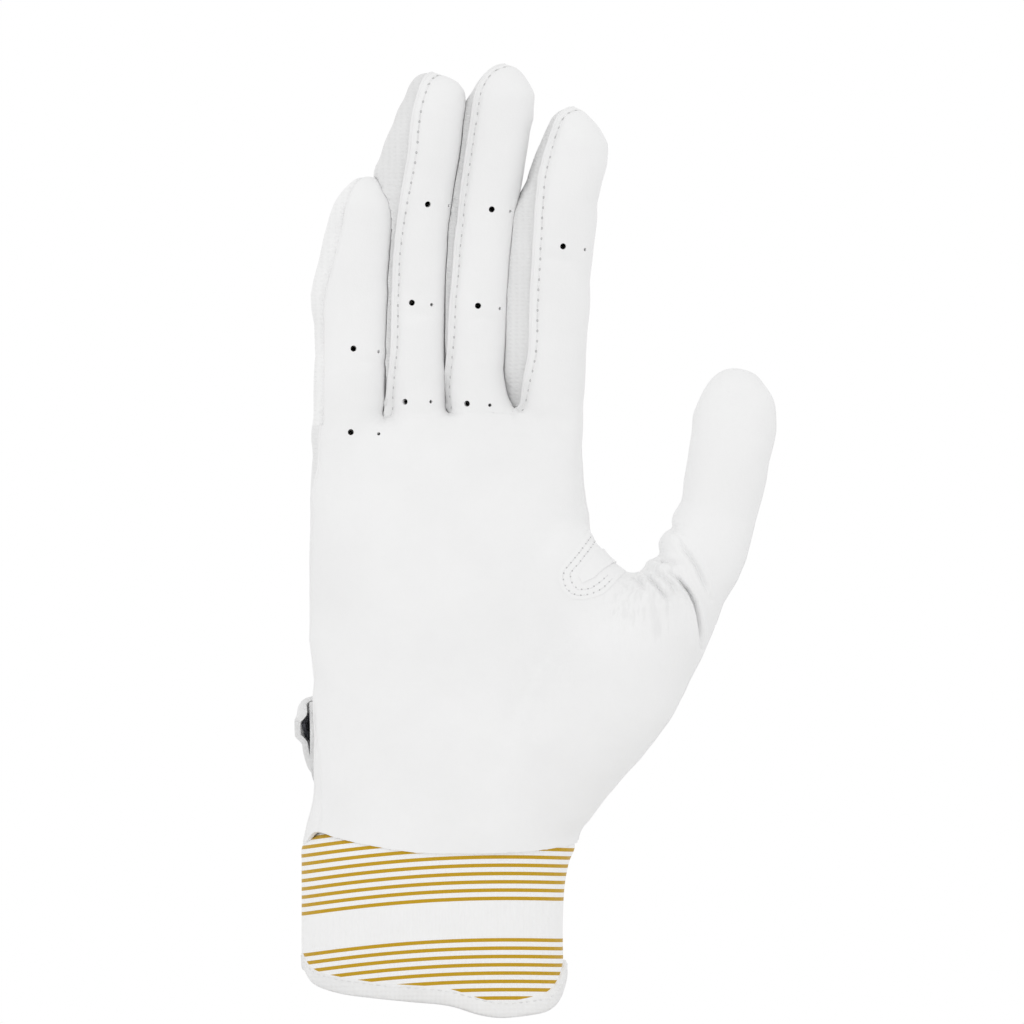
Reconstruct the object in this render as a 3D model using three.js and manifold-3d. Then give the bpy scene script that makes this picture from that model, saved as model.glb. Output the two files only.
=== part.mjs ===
// A right-hand batting glove, shown open as a hand fills it: fingers up, palm towards -Y.
// Millimetres, +Z up, +X towards the thumb. The origin is the centre of the wrist opening.
// Every cut panel is its own thin shell, and neighbours keep a seam gap so that they never touch.
import * as THREE from "three";
import { mergeVertices } from "three/addons/utils/BufferGeometryUtils.js";
import Module from "manifold-3d";

const wasm = await Module();
wasm.setup();

// Heights along the hand, from the wrist opening upwards.
const cuffHeight = 44;
const hemHeight = 41;
const hemSag = 5;
const rootHeight = 151;
const rootSlope = 0.075; // the row of finger roots drops towards the little finger
const tiltStartShare = 0.6; // where up the hand that slope starts to show
const cuffDrop = 9; // how far the rim of the cuff rises and falls on its way round

// Half sizes of the hand and of the cuff.
const handHalfWidth = 35.6;
const handHalfDepth = 15.4;
const cuffHalfWidth = 34;
const cuffHalfDepth = 22;

// Thicknesses of the materials.
const leather = 1.2;
const knit = 1.7;
const tape = 0.9;
const loopPile = 1.1;
const hookTape = 1;
const webbing = 1.6;

// Clearances.
const seamGap = 0.3; // between two panels that are sewn edge to edge
const layerGap = 0.3; // between two layers that lie on each other
const overrun = 30; // how far a cutting solid runs past what it cuts
const weld = 0.0001; // corners closer than this are one corner

// Closure on the back of the wrist.
const strapHeight = 27;
const strapLow = 51;
const strapReach = 37; // from the middle of the hand to the free end, past the little-finger edge
const strapHinge = 17; // from the middle of the hand to the sewn end
const anchorLength = 9;
const pileLength = 30;
const hookLength = 22;
const closureInset = 2; // the pile and hook patches stop this far inside the strap's edges
const gussetWidth = 20;
const gussetHeight = 38;

// Back of the hand.
const knuckleBandHeight = 19;
const knuckleBandDrop = 9;
const seamDepth = 1; // how far behind the middle of the hand the side seam runs
const bindingHeight = 7;

// Patch sewn over the crotch of the thumb.
const patchHalfWidth = 8.5;
const patchHalfHeight = 6.5;
const patchReachShare = 0.68; // of the web's reach
const patchRiseShare = 0.64; // of the web's half height, above its middle

// Air holes on the finger creases.
const airHole = 0.8;
const airHoleSides = 6;
const airHoleShares = [-0.12, 0.55]; // across the finger, in half widths

// Roundness of the cross-sections, and how finely they are faceted.
const boxiness = 2.35;
const handSides = 38;
const fingerSides = 18;
const thumbSides = 22;
const rimSteps = 20;

// The fingers: the largest sizes, and each finger's shares of them.
const fingerLength = 92.2;
const fingerHalfWidth = 7.3;
const fingerHalfDepth = 8.9;
const fingerRoll = 16; // degrees that a finger is turned about its own line
const rootBack = 1.5; // how far in front of the middle of the hand the fingers start
const littleDrop = 4.6; // how far below the others the little finger starts

// Where a root is across the hand, how long and thick the finger is, how far its end leans and
// curls as shares of its length, its sizes further up, and the heights of its air holes.
const fingerShares = [
  {
    name: "little", across: -0.635, drop: 1, length: 0.731, wide: 1.205, deep: 0.944, roll: 0.875,
    lean: 0.0579, bow: -0.0178, curl: -0.0504, mid: 1, end: 0.88, holeShares: [-0.01, 0.31],
  },
  {
    name: "ring", across: -0.135, drop: 0, length: 0.9707, wide: 1, deep: 0.966, roll: 1,
    lean: 0.0503, bow: -0.0112, curl: -0.0402, mid: 1, end: 1.22, holeShares: [0.03, 0.32, 0.61],
  },
  {
    name: "middle", across: 0.3287, drop: 0, length: 1, wide: 1, deep: 1, roll: 0.5,
    lean: 0.0748, bow: -0.0184, curl: -0.0412, mid: 1.02, end: 1.06, holeShares: [0.02, 0.3, 0.58],
  },
  {
    name: "index", across: 0.8483, drop: 0, length: 0.8785, wide: 1.1233, deep: 1.0112, roll: 1.125,
    lean: 0.0778, bow: -0.0148, curl: -0.0469, mid: 1.07, end: 1.08, holeShares: [0.56],
  },
];
const fingers = fingerShares.map((share) => ({
  name: share.name,
  rootAcross: share.across * handHalfWidth,
  rootDrop: share.drop * littleDrop,
  length: share.length * fingerLength,
  halfWidth: share.wide * fingerHalfWidth,
  halfDepth: share.deep * fingerHalfDepth,
  roll: share.roll * fingerRoll,
  lean: share.lean * share.length * fingerLength,
  bow: share.bow * share.length * fingerLength,
  curl: share.curl * share.length * fingerLength,
  midShare: share.mid,
  endShare: share.end,
  holeShares: share.holeShares,
}));
const fingerHinge = 3.4; // how far above the roots the fingers bend
const rootDepth = 26; // the finger tubes run this far down into the hand
const rootShare = 0.8; // and are this much narrower there
const coreShare = 0.4; // a section that shrinks by a wall keeps at least this much of itself
const tipShare = 1.15; // a finger's rounded end is this many half widths long
const midRiseShare = 0.5; // where along a finger its middle size is reached
const endRiseShare = 0.86;
const riseShares = [0, 0.18, 0.36, 0.54, 0.7]; // the sections of a finger below its rounded end
const tipTurnShares = [0, 0.28, 0.54, 0.76, 0.93]; // and those of a rounded end, in quarter turns
const wrapStart = -38; // degrees around a finger, from the thumb side over the palm side
const wrapEnd = 148;
const sideEnd = 206;

// The thumb: its centre line as shares of its reach, depth and rise, with the half sizes there.
const thumbHalfWidth = 11.2;
const thumbHalfDepth = 10.4;
const thumbReach = 79.8; // across, from the middle of the hand to the tip
const thumbRise = 164.3; // from the wrist opening to the tip
const thumbShares = [
  { across: 0.125, back: -0.19, up: 0.207, wide: 1.45, deep: 1.45 },
  { across: 0.432, back: -0.58, up: 0.414, wide: 1.5, deep: 1.5 },
  { across: 0.62, back: -0.77, up: 0.536, wide: 1.54, deep: 1.36 },
  { across: 0.792, back: -0.865, up: 0.6475, wide: 1.07, deep: 1.14 },
  { across: 0.917, back: -0.865, up: 0.773, wide: 0.89, deep: 0.92 },
  { across: 0.976, back: -0.77, up: 0.901, wide: 0.95, deep: 0.93 },
  { across: 1, back: -0.67, up: 1, wide: 0, deep: 0 },
];
const thumbFoldShare = { across: 0.777, back: -0.865, up: 0.654 };
const thumbTilt = 35; // degrees that the thumb leans out from the hand at its fold

// The web between the thumb and the index finger, in steps out from the palm.
const webReach = 61;
const webRise = 96;
const webHalfHeight = 25;
const webHalfDepth = 11;
const webShares = [
  { across: 0.393, back: -0.18, up: 1.01, tall: 1.12, deep: 1.15 },
  { across: 0.557, back: -0.36, up: 1.005, tall: 1.12, deep: 1.12 },
  { across: 0.648, back: -0.5, up: 1, tall: 1.04, deep: 1.04 },
  { across: 0.73, back: -0.64, up: 0.995, tall: 0.83, deep: 0.98 },
  { across: 0.82, back: -0.73, up: 0.99, tall: 0.68, deep: 0.93 },
  { across: 0.918, back: -0.77, up: 0.995, tall: 0.63, deep: 0.9 },
  { across: 1, back: -0.82, up: 1.01, tall: 0.45, deep: 0.8 },
];

// The hand tube, as shares of its height above the hem and of its half sizes.
const handShares = [
  { up: -0.03, across: 0.034, wide: 1.017, deep: 1.56 },
  { up: 0.09, across: 0.09, wide: 0.975, deep: 1.45 },
  { up: 0.22, across: 0.095, wide: 0.985, deep: 1.27 },
  { up: 0.45, across: 0.1, wide: 1.005, deep: 1.1 },
  { up: 0.7, across: 0.09, wide: 1, deep: 1 },
  { up: 0.89, across: 0.09, wide: 0.985, deep: 0.86 },
  { up: 0.99, across: 0.09, wide: 0.955, deep: 0.68 },
  { up: 1.01, across: 0.09, wide: 0.91, deep: 0.5 },
];
const cuffShares = [
  { up: -0.3, across: 0.02, wide: 1.01, deep: 1.02 },
  { up: 0.2, across: -0.018, wide: 1, deep: 1 },
  { up: 0.6, across: -0.02, wide: 1, deep: 0.99 },
  { up: 0.86, across: 0.03, wide: 1.005, deep: 1.005 },
  { up: 1, across: 0.05, wide: 0.975, deep: 0.955 },
];

// The rim of the cuff, as shares of the cuff's half width and of its drop.
const rimShares = [
  { across: -1, up: 0.72 },
  { across: -0.73, up: 0.25 },
  { across: -0.26, up: 0 },
  { across: 0.04, up: -0.14 },
  { across: 0.34, up: -0.45 },
  { across: 0.65, up: -0.52 },
  { across: 0.88, up: -0.25 },
  { across: 1, up: 0.4 },
];

// Materials.
const white = new THREE.MeshStandardMaterial({ color: 0xf1f1f2, roughness: 0.62, metalness: 0 });
const whiteKnit = new THREE.MeshStandardMaterial({ color: 0xf4f4f5, roughness: 0.85, metalness: 0 });
const stripedKnit = new THREE.MeshStandardMaterial({ color: 0xf0e6c8, roughness: 0.8, metalness: 0 });
const whiteTape = new THREE.MeshStandardMaterial({ color: 0xf6f6f6, roughness: 0.75, metalness: 0 });
const greyHook = new THREE.MeshStandardMaterial({ color: 0x55565a, roughness: 0.9, metalness: 0 });
const whiteWebbing = new THREE.MeshStandardMaterial({ color: 0xededee, roughness: 0.7, metalness: 0 });

const glove = new THREE.Group();

// A closed solid from a geometry, and back again.
function solidOf(geometry) {
  const bare = geometry.clone();
  bare.deleteAttribute("normal");
  bare.deleteAttribute("uv");
  const merged = mergeVertices(bare, weld);
  const made = new wasm.Manifold(new wasm.Mesh({
    numProp: 3,
    vertProperties: merged.attributes.position.array,
    triVerts: new Uint32Array(merged.index.array),
  }));
  return made;
}

function geometryOf(solid) {
  const mesh = solid.getMesh();
  const geometry = new THREE.BufferGeometry();
  geometry.setAttribute("position", new THREE.BufferAttribute(mesh.vertProperties, mesh.numProp));
  geometry.setIndex(new THREE.BufferAttribute(mesh.triVerts, 1));
  const faceted = geometry.toNonIndexed();
  faceted.computeVertexNormals();
  return faceted;
}

function addPiece(name, solid, material) {
  const largest = solid.decompose().sort((a, b) => b.volume() - a.volume())[0];
  const mesh = new THREE.Mesh(geometryOf(largest), material);
  mesh.name = name;
  glove.add(mesh);
}

// A closed tube through stations, each with a centre, two directions and two half sizes.
function loft(stations, sides) {
  const points = [];
  const faces = [];
  for (const { at, side, front, wide, deep } of stations) {
    for (let i = 0; i < sides; i++) {
      const turn = (i / sides) * Math.PI * 2;
      const c = Math.cos(turn);
      const s = Math.sin(turn);
      const across = Math.sign(c) * Math.abs(c) ** (2 / boxiness) * wide;
      const out = Math.sign(s) * Math.abs(s) ** (2 / boxiness) * deep;
      points.push(at.clone().addScaledVector(side, across).addScaledVector(front, out));
    }
  }
  for (let k = 0; k + 1 < stations.length; k++) {
    for (let i = 0; i < sides; i++) {
      const a = k * sides + i;
      const b = k * sides + ((i + 1) % sides);
      faces.push([a, b + sides, b], [a, a + sides, b + sides]);
    }
  }
  const low = points.push(stations[0].at.clone()) - 1;
  const high = points.push(stations.at(-1).at.clone()) - 1;
  const lastRing = (stations.length - 1) * sides;
  for (let i = 0; i < sides; i++) {
    const next = (i + 1) % sides;
    faces.push([low, i, next], [high, lastRing + next, lastRing + i]);
  }
  const geometry = new THREE.BufferGeometry();
  const places = points.flatMap((p) => p.toArray());
  geometry.setAttribute("position", new THREE.Float32BufferAttribute(places, 3));
  geometry.setIndex(faces.flat());
  return solidOf(geometry);
}

// A point and a direction turned about the vertical by a number of degrees.
const upwards = new THREE.Vector3(0, 0, 1);
const turned = (x, y, degrees) =>
  new THREE.Vector3(x, y, 0).applyAxisAngle(upwards, THREE.MathUtils.degToRad(degrees));

function box(low, high) {
  const size = new THREE.Vector3().subVectors(high, low);
  const geometry = new THREE.BoxGeometry(size.x, size.y, size.z);
  const middle = new THREE.Vector3().addVectors(low, high).divideScalar(2);
  return solidOf(geometry.translate(middle.x, middle.y, middle.z));
}

const point = (x, y, z) => new THREE.Vector3(x, y, z);

// The widest box that anything here is cut with.
const farAcross = handHalfWidth + thumbReach + overrun;
const farBack = handHalfDepth + cuffHalfDepth + overrun;
const farUp = rootHeight + fingers[2].length + overrun;

const slab = (lowBack, highBack) =>
  box(point(-farAcross, lowBack, -overrun), point(farAcross, highBack, farUp));

// A horizontal layer whose lower and upper faces follow a height that changes across the hand.
function wavyLayer(lowAt, highAt, halfWidth) {
  const outline = new THREE.Shape();
  for (let i = 0; i <= rimSteps; i++) {
    const x = THREE.MathUtils.lerp(-halfWidth, halfWidth, i / rimSteps);
    if (i === 0) outline.moveTo(x, lowAt(x));
    else outline.lineTo(x, lowAt(x));
  }
  for (let i = rimSteps; i >= 0; i--) {
    const x = THREE.MathUtils.lerp(-halfWidth, halfWidth, i / rimSteps);
    outline.lineTo(x, highAt(x));
  }
  const geometry = new THREE.ExtrudeGeometry(outline, { depth: farBack * 2, bevelEnabled: false });
  geometry.rotateX(Math.PI / 2).translate(0, farBack, 0);
  return solidOf(geometry);
}

// The hem of the leather: an arc that hangs lowest in the middle of the palm.
const hemAt = (x) =>
  hemHeight - hemSag * Math.cos((Math.PI / 2) * (x / (handHalfWidth + overrun))) + hemSag / 2;

// The rim of the cuff: high at the little-finger side, lowest under the thumb.
function rimAt(x) {
  const share = THREE.MathUtils.clamp(x / cuffHalfWidth, -1, 1);
  const next = Math.max(rimShares.findIndex(({ across }) => across >= share), 1);
  const [from, to] = [rimShares[next - 1], rimShares[next]];
  return cuffDrop * THREE.MathUtils.mapLinear(share, from.across, to.across, from.up, to.up);
}

// Straight tubes: the hand and the cuff.
function bodyTube(shares, base, height, halfWidth, halfDepth, grow, slope) {
  const lean = Math.atan(slope);
  return loft(shares.map(({ up, across, wide, deep }) => {
    const tilt = lean * THREE.MathUtils.smoothstep(up, tiltStartShare, 1);
    return {
      at: point(across * halfWidth, 0, base + up * height + grow * Math.max(0, up - 0.5)),
      side: point(Math.cos(tilt), 0, Math.sin(tilt)),
      front: point(0, -1, 0),
      wide: wide * halfWidth + grow,
      deep: deep * halfDepth + grow,
    };
  }), handSides);
}

const handTube = (grow) => bodyTube(
  handShares, hemHeight, rootHeight - hemHeight, handHalfWidth, handHalfDepth, grow, rootSlope);
const cuffTube = (grow) => bodyTube(
  cuffShares, 0, cuffHeight, cuffHalfWidth, cuffHalfDepth, grow, 0);

// Where a finger's centre line is, at a share of its length above its root.
function fingerCentre(finger, share) {
  const rise = Math.max(share, 0);
  const sideways = finger.bow * Math.sin(Math.PI * rise) * (1 - rise / 2);
  const across = finger.rootAcross + finger.lean * rise ** 2 + sideways;
  const back = finger.curl * rise ** 2 - rootBack;
  return point(across, back, rootHeight - finger.rootDrop + share * finger.length);
}

function fingerTube(finger, grow) {
  const { length, halfWidth, halfDepth, roll, midShare, endShare } = finger;
  const tipLength = (tipShare * halfWidth * endShare) / length;
  const tipStart = 1 - tipLength;
  const sizeAt = (share) => {
    const low = THREE.MathUtils.smoothstep(share, 0, midRiseShare);
    const high = THREE.MathUtils.smoothstep(share, midRiseShare, endRiseShare);
    return THREE.MathUtils.lerp(THREE.MathUtils.lerp(1, midShare, low), endShare, high);
  };
  const root = { share: -rootDepth / length, size: rootShare };
  const straight = [root, ...riseShares.map((share) => ({ share, size: sizeAt(share) }))];
  const rounded = tipTurnShares.map((share) => ({
    share: tipStart + tipLength * Math.sin((share * Math.PI) / 2),
    size: sizeAt(tipStart) * Math.cos((share * Math.PI) / 2),
  }));
  const stations = [...straight, ...rounded].map(({ share, size }) => ({
    at: fingerCentre(finger, share).add(point(0, 0, grow * Math.max(0, share))),
    side: turned(1, 0, roll),
    front: turned(0, -1, roll),
    wide: Math.max(halfWidth * size + grow, halfWidth * size * coreShare),
    deep: Math.max(halfDepth * size + grow, halfDepth * size * coreShare),
  }));
  return loft(stations, fingerSides);
}

const thumbPoint = ({ across, back, up }) =>
  point(across * thumbReach, back * thumbHalfDepth, up * thumbRise);

function thumbTube(grow) {
  const path = new THREE.CatmullRomCurve3(thumbShares.map(thumbPoint), false, "centripetal");
  const spans = thumbShares.length - 1;
  const last = thumbShares[spans - 1];
  const bodyEnd = (spans - 1) / spans;
  const stationAt = (t, wideShare, deepShare) => {
    const along = path.getTangent(t);
    const front = point(0, -1, 0).addScaledVector(along, along.y).normalize();
    return {
      at: path.getPoint(t).addScaledVector(along, grow * Math.max(0, t - 0.5)),
      side: new THREE.Vector3().crossVectors(along, front),
      front,
      wide: Math.max(thumbHalfWidth * wideShare + grow, thumbHalfWidth * wideShare * coreShare),
      deep: Math.max(thumbHalfDepth * deepShare + grow, thumbHalfDepth * deepShare * coreShare),
    };
  };
  const straight = thumbShares.slice(0, spans).map(({ wide, deep }, i) => stationAt(i / spans, wide, deep));
  const rounded = tipTurnShares.slice(1).map((share) => {
    const turn = (share * Math.PI) / 2;
    const along = bodyEnd + Math.sin(turn) / spans;
    return stationAt(along, last.wide * Math.cos(turn), last.deep * Math.cos(turn));
  });
  return loft([...straight, ...rounded], thumbSides);
}

function webTube(grow) {
  return loft(webShares.map(({ across, back, up, tall, deep }) => ({
    at: point(across * webReach, back * webHalfDepth, up * webRise),
    side: point(0, 0, -1),
    front: point(0, -1, 0),
    wide: webHalfHeight * tall + grow,
    deep: webHalfDepth * deep + grow,
  })), thumbSides);
}

// Everything above or below a finger's bending plane.
const hingeHeight = (finger) => rootHeight - finger.rootDrop + fingerHinge;
const above = (height) => box(point(-farAcross, -farBack, height), point(farAcross, farBack, farUp));
const below = (height) => box(point(-farAcross, -farBack, -farUp), point(farAcross, farBack, height));

// The thumb's fold is square to the thumb and runs from the crotch to the outer edge.
const thumbFold = thumbPoint(thumbFoldShare);

function thumbHalf(outer) {
  const size = farUp;
  const geometry = new THREE.BoxGeometry(size, size, size);
  geometry.translate(0, 0, (outer ? 1 : -1) * (size / 2 + seamGap / 2));
  geometry.rotateY(THREE.MathUtils.degToRad(thumbTilt));
  geometry.translate(thumbFold.x, thumbFold.y, thumbFold.z);
  return solidOf(geometry);
}

// The whole skin of the hand below the folds, as one solid of a given offset.
function handSolid(grow) {
  const parts = fingers.map((finger) => {
    const stump = below(hingeHeight(finger) - seamGap / 2);
    return fingerTube(finger, grow).intersect(stump);
  });
  const thumbRoot = thumbTube(grow).add(webTube(grow)).intersect(thumbHalf(false));
  return parts.reduce((sum, part) => sum.add(part), handTube(grow).add(thumbRoot));
}

function handCavity(grow) {
  const parts = fingers.map((finger) => fingerTube(finger, grow));
  return parts.reduce((sum, part) => sum.add(part), handTube(grow).add(thumbTube(grow)).add(webTube(grow)));
}

const handOuter = handSolid(0);
const cavity = handCavity(-leather);
const aboveHem = wavyLayer(hemAt, () => farUp, farAcross);
const fingerRoom = fingers.map((finger) => {
  const room = above(hingeHeight(finger) - seamGap / 2);
  return fingerTube(finger, seamGap).intersect(room);
});
const handShell = handOuter.subtract(cavity).intersect(aboveHem);
const handSkin = fingerRoom.reduce((rest, room) => rest.subtract(room), handShell);

// Panels of the hand.
const frontHalf = slab(-farBack, seamDepth - seamGap / 2);
const backHalf = slab(seamDepth + seamGap / 2, farBack);
const bandTop = rootHeight - knuckleBandDrop;
const bandLow = bandTop - knuckleBandHeight;
const gussetMiddle = -gussetWidth / 4;

function windowBox(width, low, high, margin) {
  return box(
    point(gussetMiddle - width / 2 - margin, 0, low - margin),
    point(gussetMiddle + width / 2 + margin, farBack, high + margin),
  );
}

const backSkin = handSkin.intersect(backHalf);
const gussetTop = hemHeight + gussetHeight;
const gussetHole = windowBox(gussetWidth, 0, gussetTop, seamGap / 2);
const gussetFill = windowBox(gussetWidth, 0, gussetTop, -seamGap / 2);
const band = above(bandLow + seamGap / 2).intersect(below(bandTop - seamGap / 2));
addPiece("knuckle_flex_panel", backSkin.intersect(band), whiteKnit);
addPiece("finger_root_panel", backSkin.intersect(above(bandTop + seamGap / 2)), whiteKnit);
addPiece("back_panel", backSkin.intersect(below(bandLow - seamGap / 2)).subtract(gussetHole), white);
addPiece("wrist_gusset", backSkin.intersect(gussetFill), whiteKnit);

// Patch over the thumb crotch: a thin layer on the outside of the hand.
const patchLayer = handSolid(layerGap + leather).subtract(handSolid(layerGap));
const patchPin = solidOf(
  new THREE.CylinderGeometry(1, 1, farBack * 2, fingerSides)
    .scale(patchHalfWidth, 1, patchHalfHeight)
    .translate(webReach * patchReachShare, 0, webRise + webHalfHeight * patchRiseShare),
);
addPiece("thumb_crotch_patch",
  patchLayer.intersect(patchPin).intersect(slab(-farBack, seamDepth - seamGap)), white);

// Fingers: leather round the palm and thumb sides, a side wall, and a back.
function wedge(finger, fromDegrees, toDegrees) {
  const outline = new THREE.Shape();
  const reach = finger.halfWidth + finger.halfDepth + overrun;
  const steps = Math.ceil((toDegrees - fromDegrees) / 30);
  const middle = THREE.MathUtils.degToRad(finger.roll - (fromDegrees + toDegrees) / 2);
  const inset = seamGap / 2 / Math.sin(THREE.MathUtils.degToRad((toDegrees - fromDegrees) / 2));
  outline.moveTo(0, 0);
  for (let i = 0; i <= steps; i++) {
    const degrees = THREE.MathUtils.lerp(fromDegrees, toDegrees, i / steps);
    const turn = THREE.MathUtils.degToRad(-degrees + finger.roll);
    outline.lineTo(Math.cos(turn) * reach, Math.sin(turn) * reach);
  }
  const low = fingerCentre(finger, 0);
  const high = fingerCentre(finger, 1);
  const geometry = new THREE.ExtrudeGeometry(outline, { depth: 1, steps: 1, bevelEnabled: false });
  geometry.translate(Math.cos(middle) * inset, Math.sin(middle) * inset, 0);
  const place = geometry.attributes.position;
  const reachUp = high.z - low.z + overrun;
  for (let i = 0; i < place.count; i++) {
    const rise = place.getZ(i);
    const slide = (rise * reachUp) / (high.z - low.z);
    place.setXYZ(i,
      place.getX(i) + THREE.MathUtils.lerp(low.x, high.x, slide),
      place.getY(i) + THREE.MathUtils.lerp(low.y, high.y, slide),
      low.z + rise * reachUp);
  }
  return solidOf(geometry);
}

// Pairs of air holes through the palm side, on the finger or on the palm just below its fold.
function airHoles(finger, onPalm) {
  const fold = fingerHinge / finger.length;
  return finger.holeShares.filter((share) => share <= fold === onPalm).flatMap((share) => {
    const centre = fingerCentre(finger, share);
    const height = onPalm ? hingeHeight(finger) - airHole * 2 : centre.z;
    return airHoleShares.map((side) => solidOf(
      new THREE.CylinderGeometry(airHole, airHole, farBack, airHoleSides)
        .translate(centre.x + side * finger.halfWidth, centre.y - farBack / 2, height),
    ));
  });
}

const palmHoles = fingers.flatMap((finger) => airHoles(finger, true));
const palmSkin = handSkin.intersect(frontHalf);
addPiece("palm_panel", palmHoles.reduce((rest, hole) => rest.subtract(hole), palmSkin), white);

for (const finger of fingers) {
  const skin = fingerTube(finger, 0)
    .subtract(fingerTube(finger, -leather))
    .intersect(above(hingeHeight(finger) + seamGap / 2));
  const outerSide = finger.name === "little";
  const wrapped = airHoles(finger, false).reduce(
    (rest, hole) => rest.subtract(hole),
    skin.intersect(wedge(finger, wrapStart, wrapEnd)),
  );
  addPiece(finger.name + "_finger_leather", wrapped, white);
  const sideWall = skin.intersect(wedge(finger, wrapEnd, sideEnd));
  if (!outerSide) addPiece(finger.name + "_finger_side", sideWall, whiteKnit);
  const backWall = skin.intersect(wedge(finger, outerSide ? wrapEnd : sideEnd, 360 + wrapStart));
  addPiece(finger.name + "_finger_back", backWall, whiteKnit);
}

// Thumb.
const thumbSkin = thumbTube(0).subtract(thumbTube(-leather)).intersect(thumbHalf(true));
const thumbSeam = thumbFold.y + seamDepth;
addPiece("thumb_leather", thumbSkin.intersect(slab(-farBack, thumbSeam - seamGap / 2)), white);
addPiece("thumb_back", thumbSkin.intersect(slab(thumbSeam + seamGap / 2, farBack)), whiteKnit);

// Cuff: a knitted sleeve in two panels, with a tape folded over its rim.
const sleeveSpan = wavyLayer((x) => rimAt(x) + tape + layerGap, () => cuffHeight - tape, farAcross);
const sleeve = cuffTube(0).subtract(cuffTube(-knit)).intersect(sleeveSpan);
addPiece("cuff_palm_panel", sleeve.intersect(slab(-farBack, -seamGap / 2)), stripedKnit);
addPiece("cuff_back_panel", sleeve.intersect(slab(seamGap / 2, farBack)), stripedKnit);

const tapeShell = cuffTube(layerGap + tape).subtract(cuffTube(-knit - layerGap - tape));
const tapeGroove = cuffTube(layerGap).subtract(cuffTube(-knit - layerGap))
  .intersect(wavyLayer((x) => rimAt(x) + tape, () => cuffHeight, farAcross));
const binding = tapeShell
  .intersect(wavyLayer(rimAt, (x) => rimAt(x) + bindingHeight, farAcross))
  .subtract(tapeGroove);
addPiece("cuff_binding", binding, whiteTape);

// Closure: pile patch on the back panel, then hook patch and strap on top of it.
function closureLayer(low, thickness, left, right, lowEdge, highEdge) {
  const layer = handSolid(low + thickness).subtract(handSolid(low));
  return layer.intersect(box(point(left, seamDepth, lowEdge), point(right, farBack, highEdge)));
}
const strapTop = strapLow + strapHeight;
const pileLow = layerGap;
const hookLow = pileLow + loopPile + layerGap;
const webLow = hookLow + hookTape + layerGap;
const patchLow = strapLow + closureInset;
const patchTop = strapTop - closureInset;
const pileEnd = pileLength - strapReach;
const hookEnd = hookLength - strapReach;
const strapEnd = strapHinge - seamGap / 2;
const anchorStart = strapHinge + seamGap / 2;
const anchorEnd = strapHinge + anchorLength;
const stackHeight = webLow + webbing - layerGap;
const pilePatch = closureLayer(pileLow, loopPile, -farAcross, pileEnd, patchLow, patchTop);
const hookPatch = closureLayer(hookLow, hookTape, -farAcross, hookEnd, patchLow, patchTop);
const strap = closureLayer(webLow, webbing, -farAcross, strapEnd, strapLow, strapTop);
const anchor = closureLayer(layerGap, stackHeight, anchorStart, anchorEnd, strapLow, strapTop);
addPiece("strap_loop_patch", pilePatch, whiteKnit);
addPiece("strap_hook_patch", hookPatch, greyHook);
addPiece("wrist_strap", strap, whiteWebbing);
addPiece("strap_anchor", anchor, whiteWebbing);

export default glove;
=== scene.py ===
import math

import bpy
import numpy as np
from mathutils import Matrix, Vector
from mathutils.bvhtree import BVHTree


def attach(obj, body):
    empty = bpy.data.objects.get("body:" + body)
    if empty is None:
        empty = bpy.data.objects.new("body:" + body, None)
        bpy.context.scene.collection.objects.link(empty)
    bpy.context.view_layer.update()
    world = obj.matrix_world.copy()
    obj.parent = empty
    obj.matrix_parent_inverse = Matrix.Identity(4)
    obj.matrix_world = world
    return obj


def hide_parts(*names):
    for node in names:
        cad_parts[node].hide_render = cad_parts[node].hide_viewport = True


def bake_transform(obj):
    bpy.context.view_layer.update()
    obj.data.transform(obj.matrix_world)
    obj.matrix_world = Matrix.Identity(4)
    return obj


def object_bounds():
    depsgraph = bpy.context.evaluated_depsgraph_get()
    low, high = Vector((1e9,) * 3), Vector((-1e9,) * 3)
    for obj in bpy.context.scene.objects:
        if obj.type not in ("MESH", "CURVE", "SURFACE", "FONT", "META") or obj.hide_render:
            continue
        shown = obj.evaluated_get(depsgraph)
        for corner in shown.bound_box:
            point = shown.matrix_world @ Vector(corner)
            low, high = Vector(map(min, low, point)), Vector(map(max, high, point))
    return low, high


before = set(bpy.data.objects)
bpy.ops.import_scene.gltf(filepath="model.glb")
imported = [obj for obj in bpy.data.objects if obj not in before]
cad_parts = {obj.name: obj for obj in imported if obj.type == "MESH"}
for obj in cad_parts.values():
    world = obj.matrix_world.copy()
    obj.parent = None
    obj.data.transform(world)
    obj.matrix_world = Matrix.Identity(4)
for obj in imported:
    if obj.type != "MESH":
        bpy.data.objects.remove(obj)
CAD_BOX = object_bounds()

bl_info = {
    "name": "Batting Glove",
    "version": (1, 0, 0),
    "blender": (4, 5, 0),
    "location": "View3D > Sidebar > Glove",
    "description": "Sews a leather and knit batting glove over its packed frame, and sets the stage",
    "category": "Mesh",
}

MM = 0.001
MERGE_GAP = 0.01

# The form of the glove, in millimetres, as the solids have it

CUFF_HEIGHT = 44
HEM_HEIGHT = 41
ROOT_HEIGHT = 151
ROOT_SLOPE = 0.075
CUFF_DROP = 9
HAND_HALF_WIDTH = 35.6
HAND_HALF_DEPTH = 15.4
CUFF_HALF_WIDTH = 34
CUFF_HALF_DEPTH = 22
BOXINESS = 2.35

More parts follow.
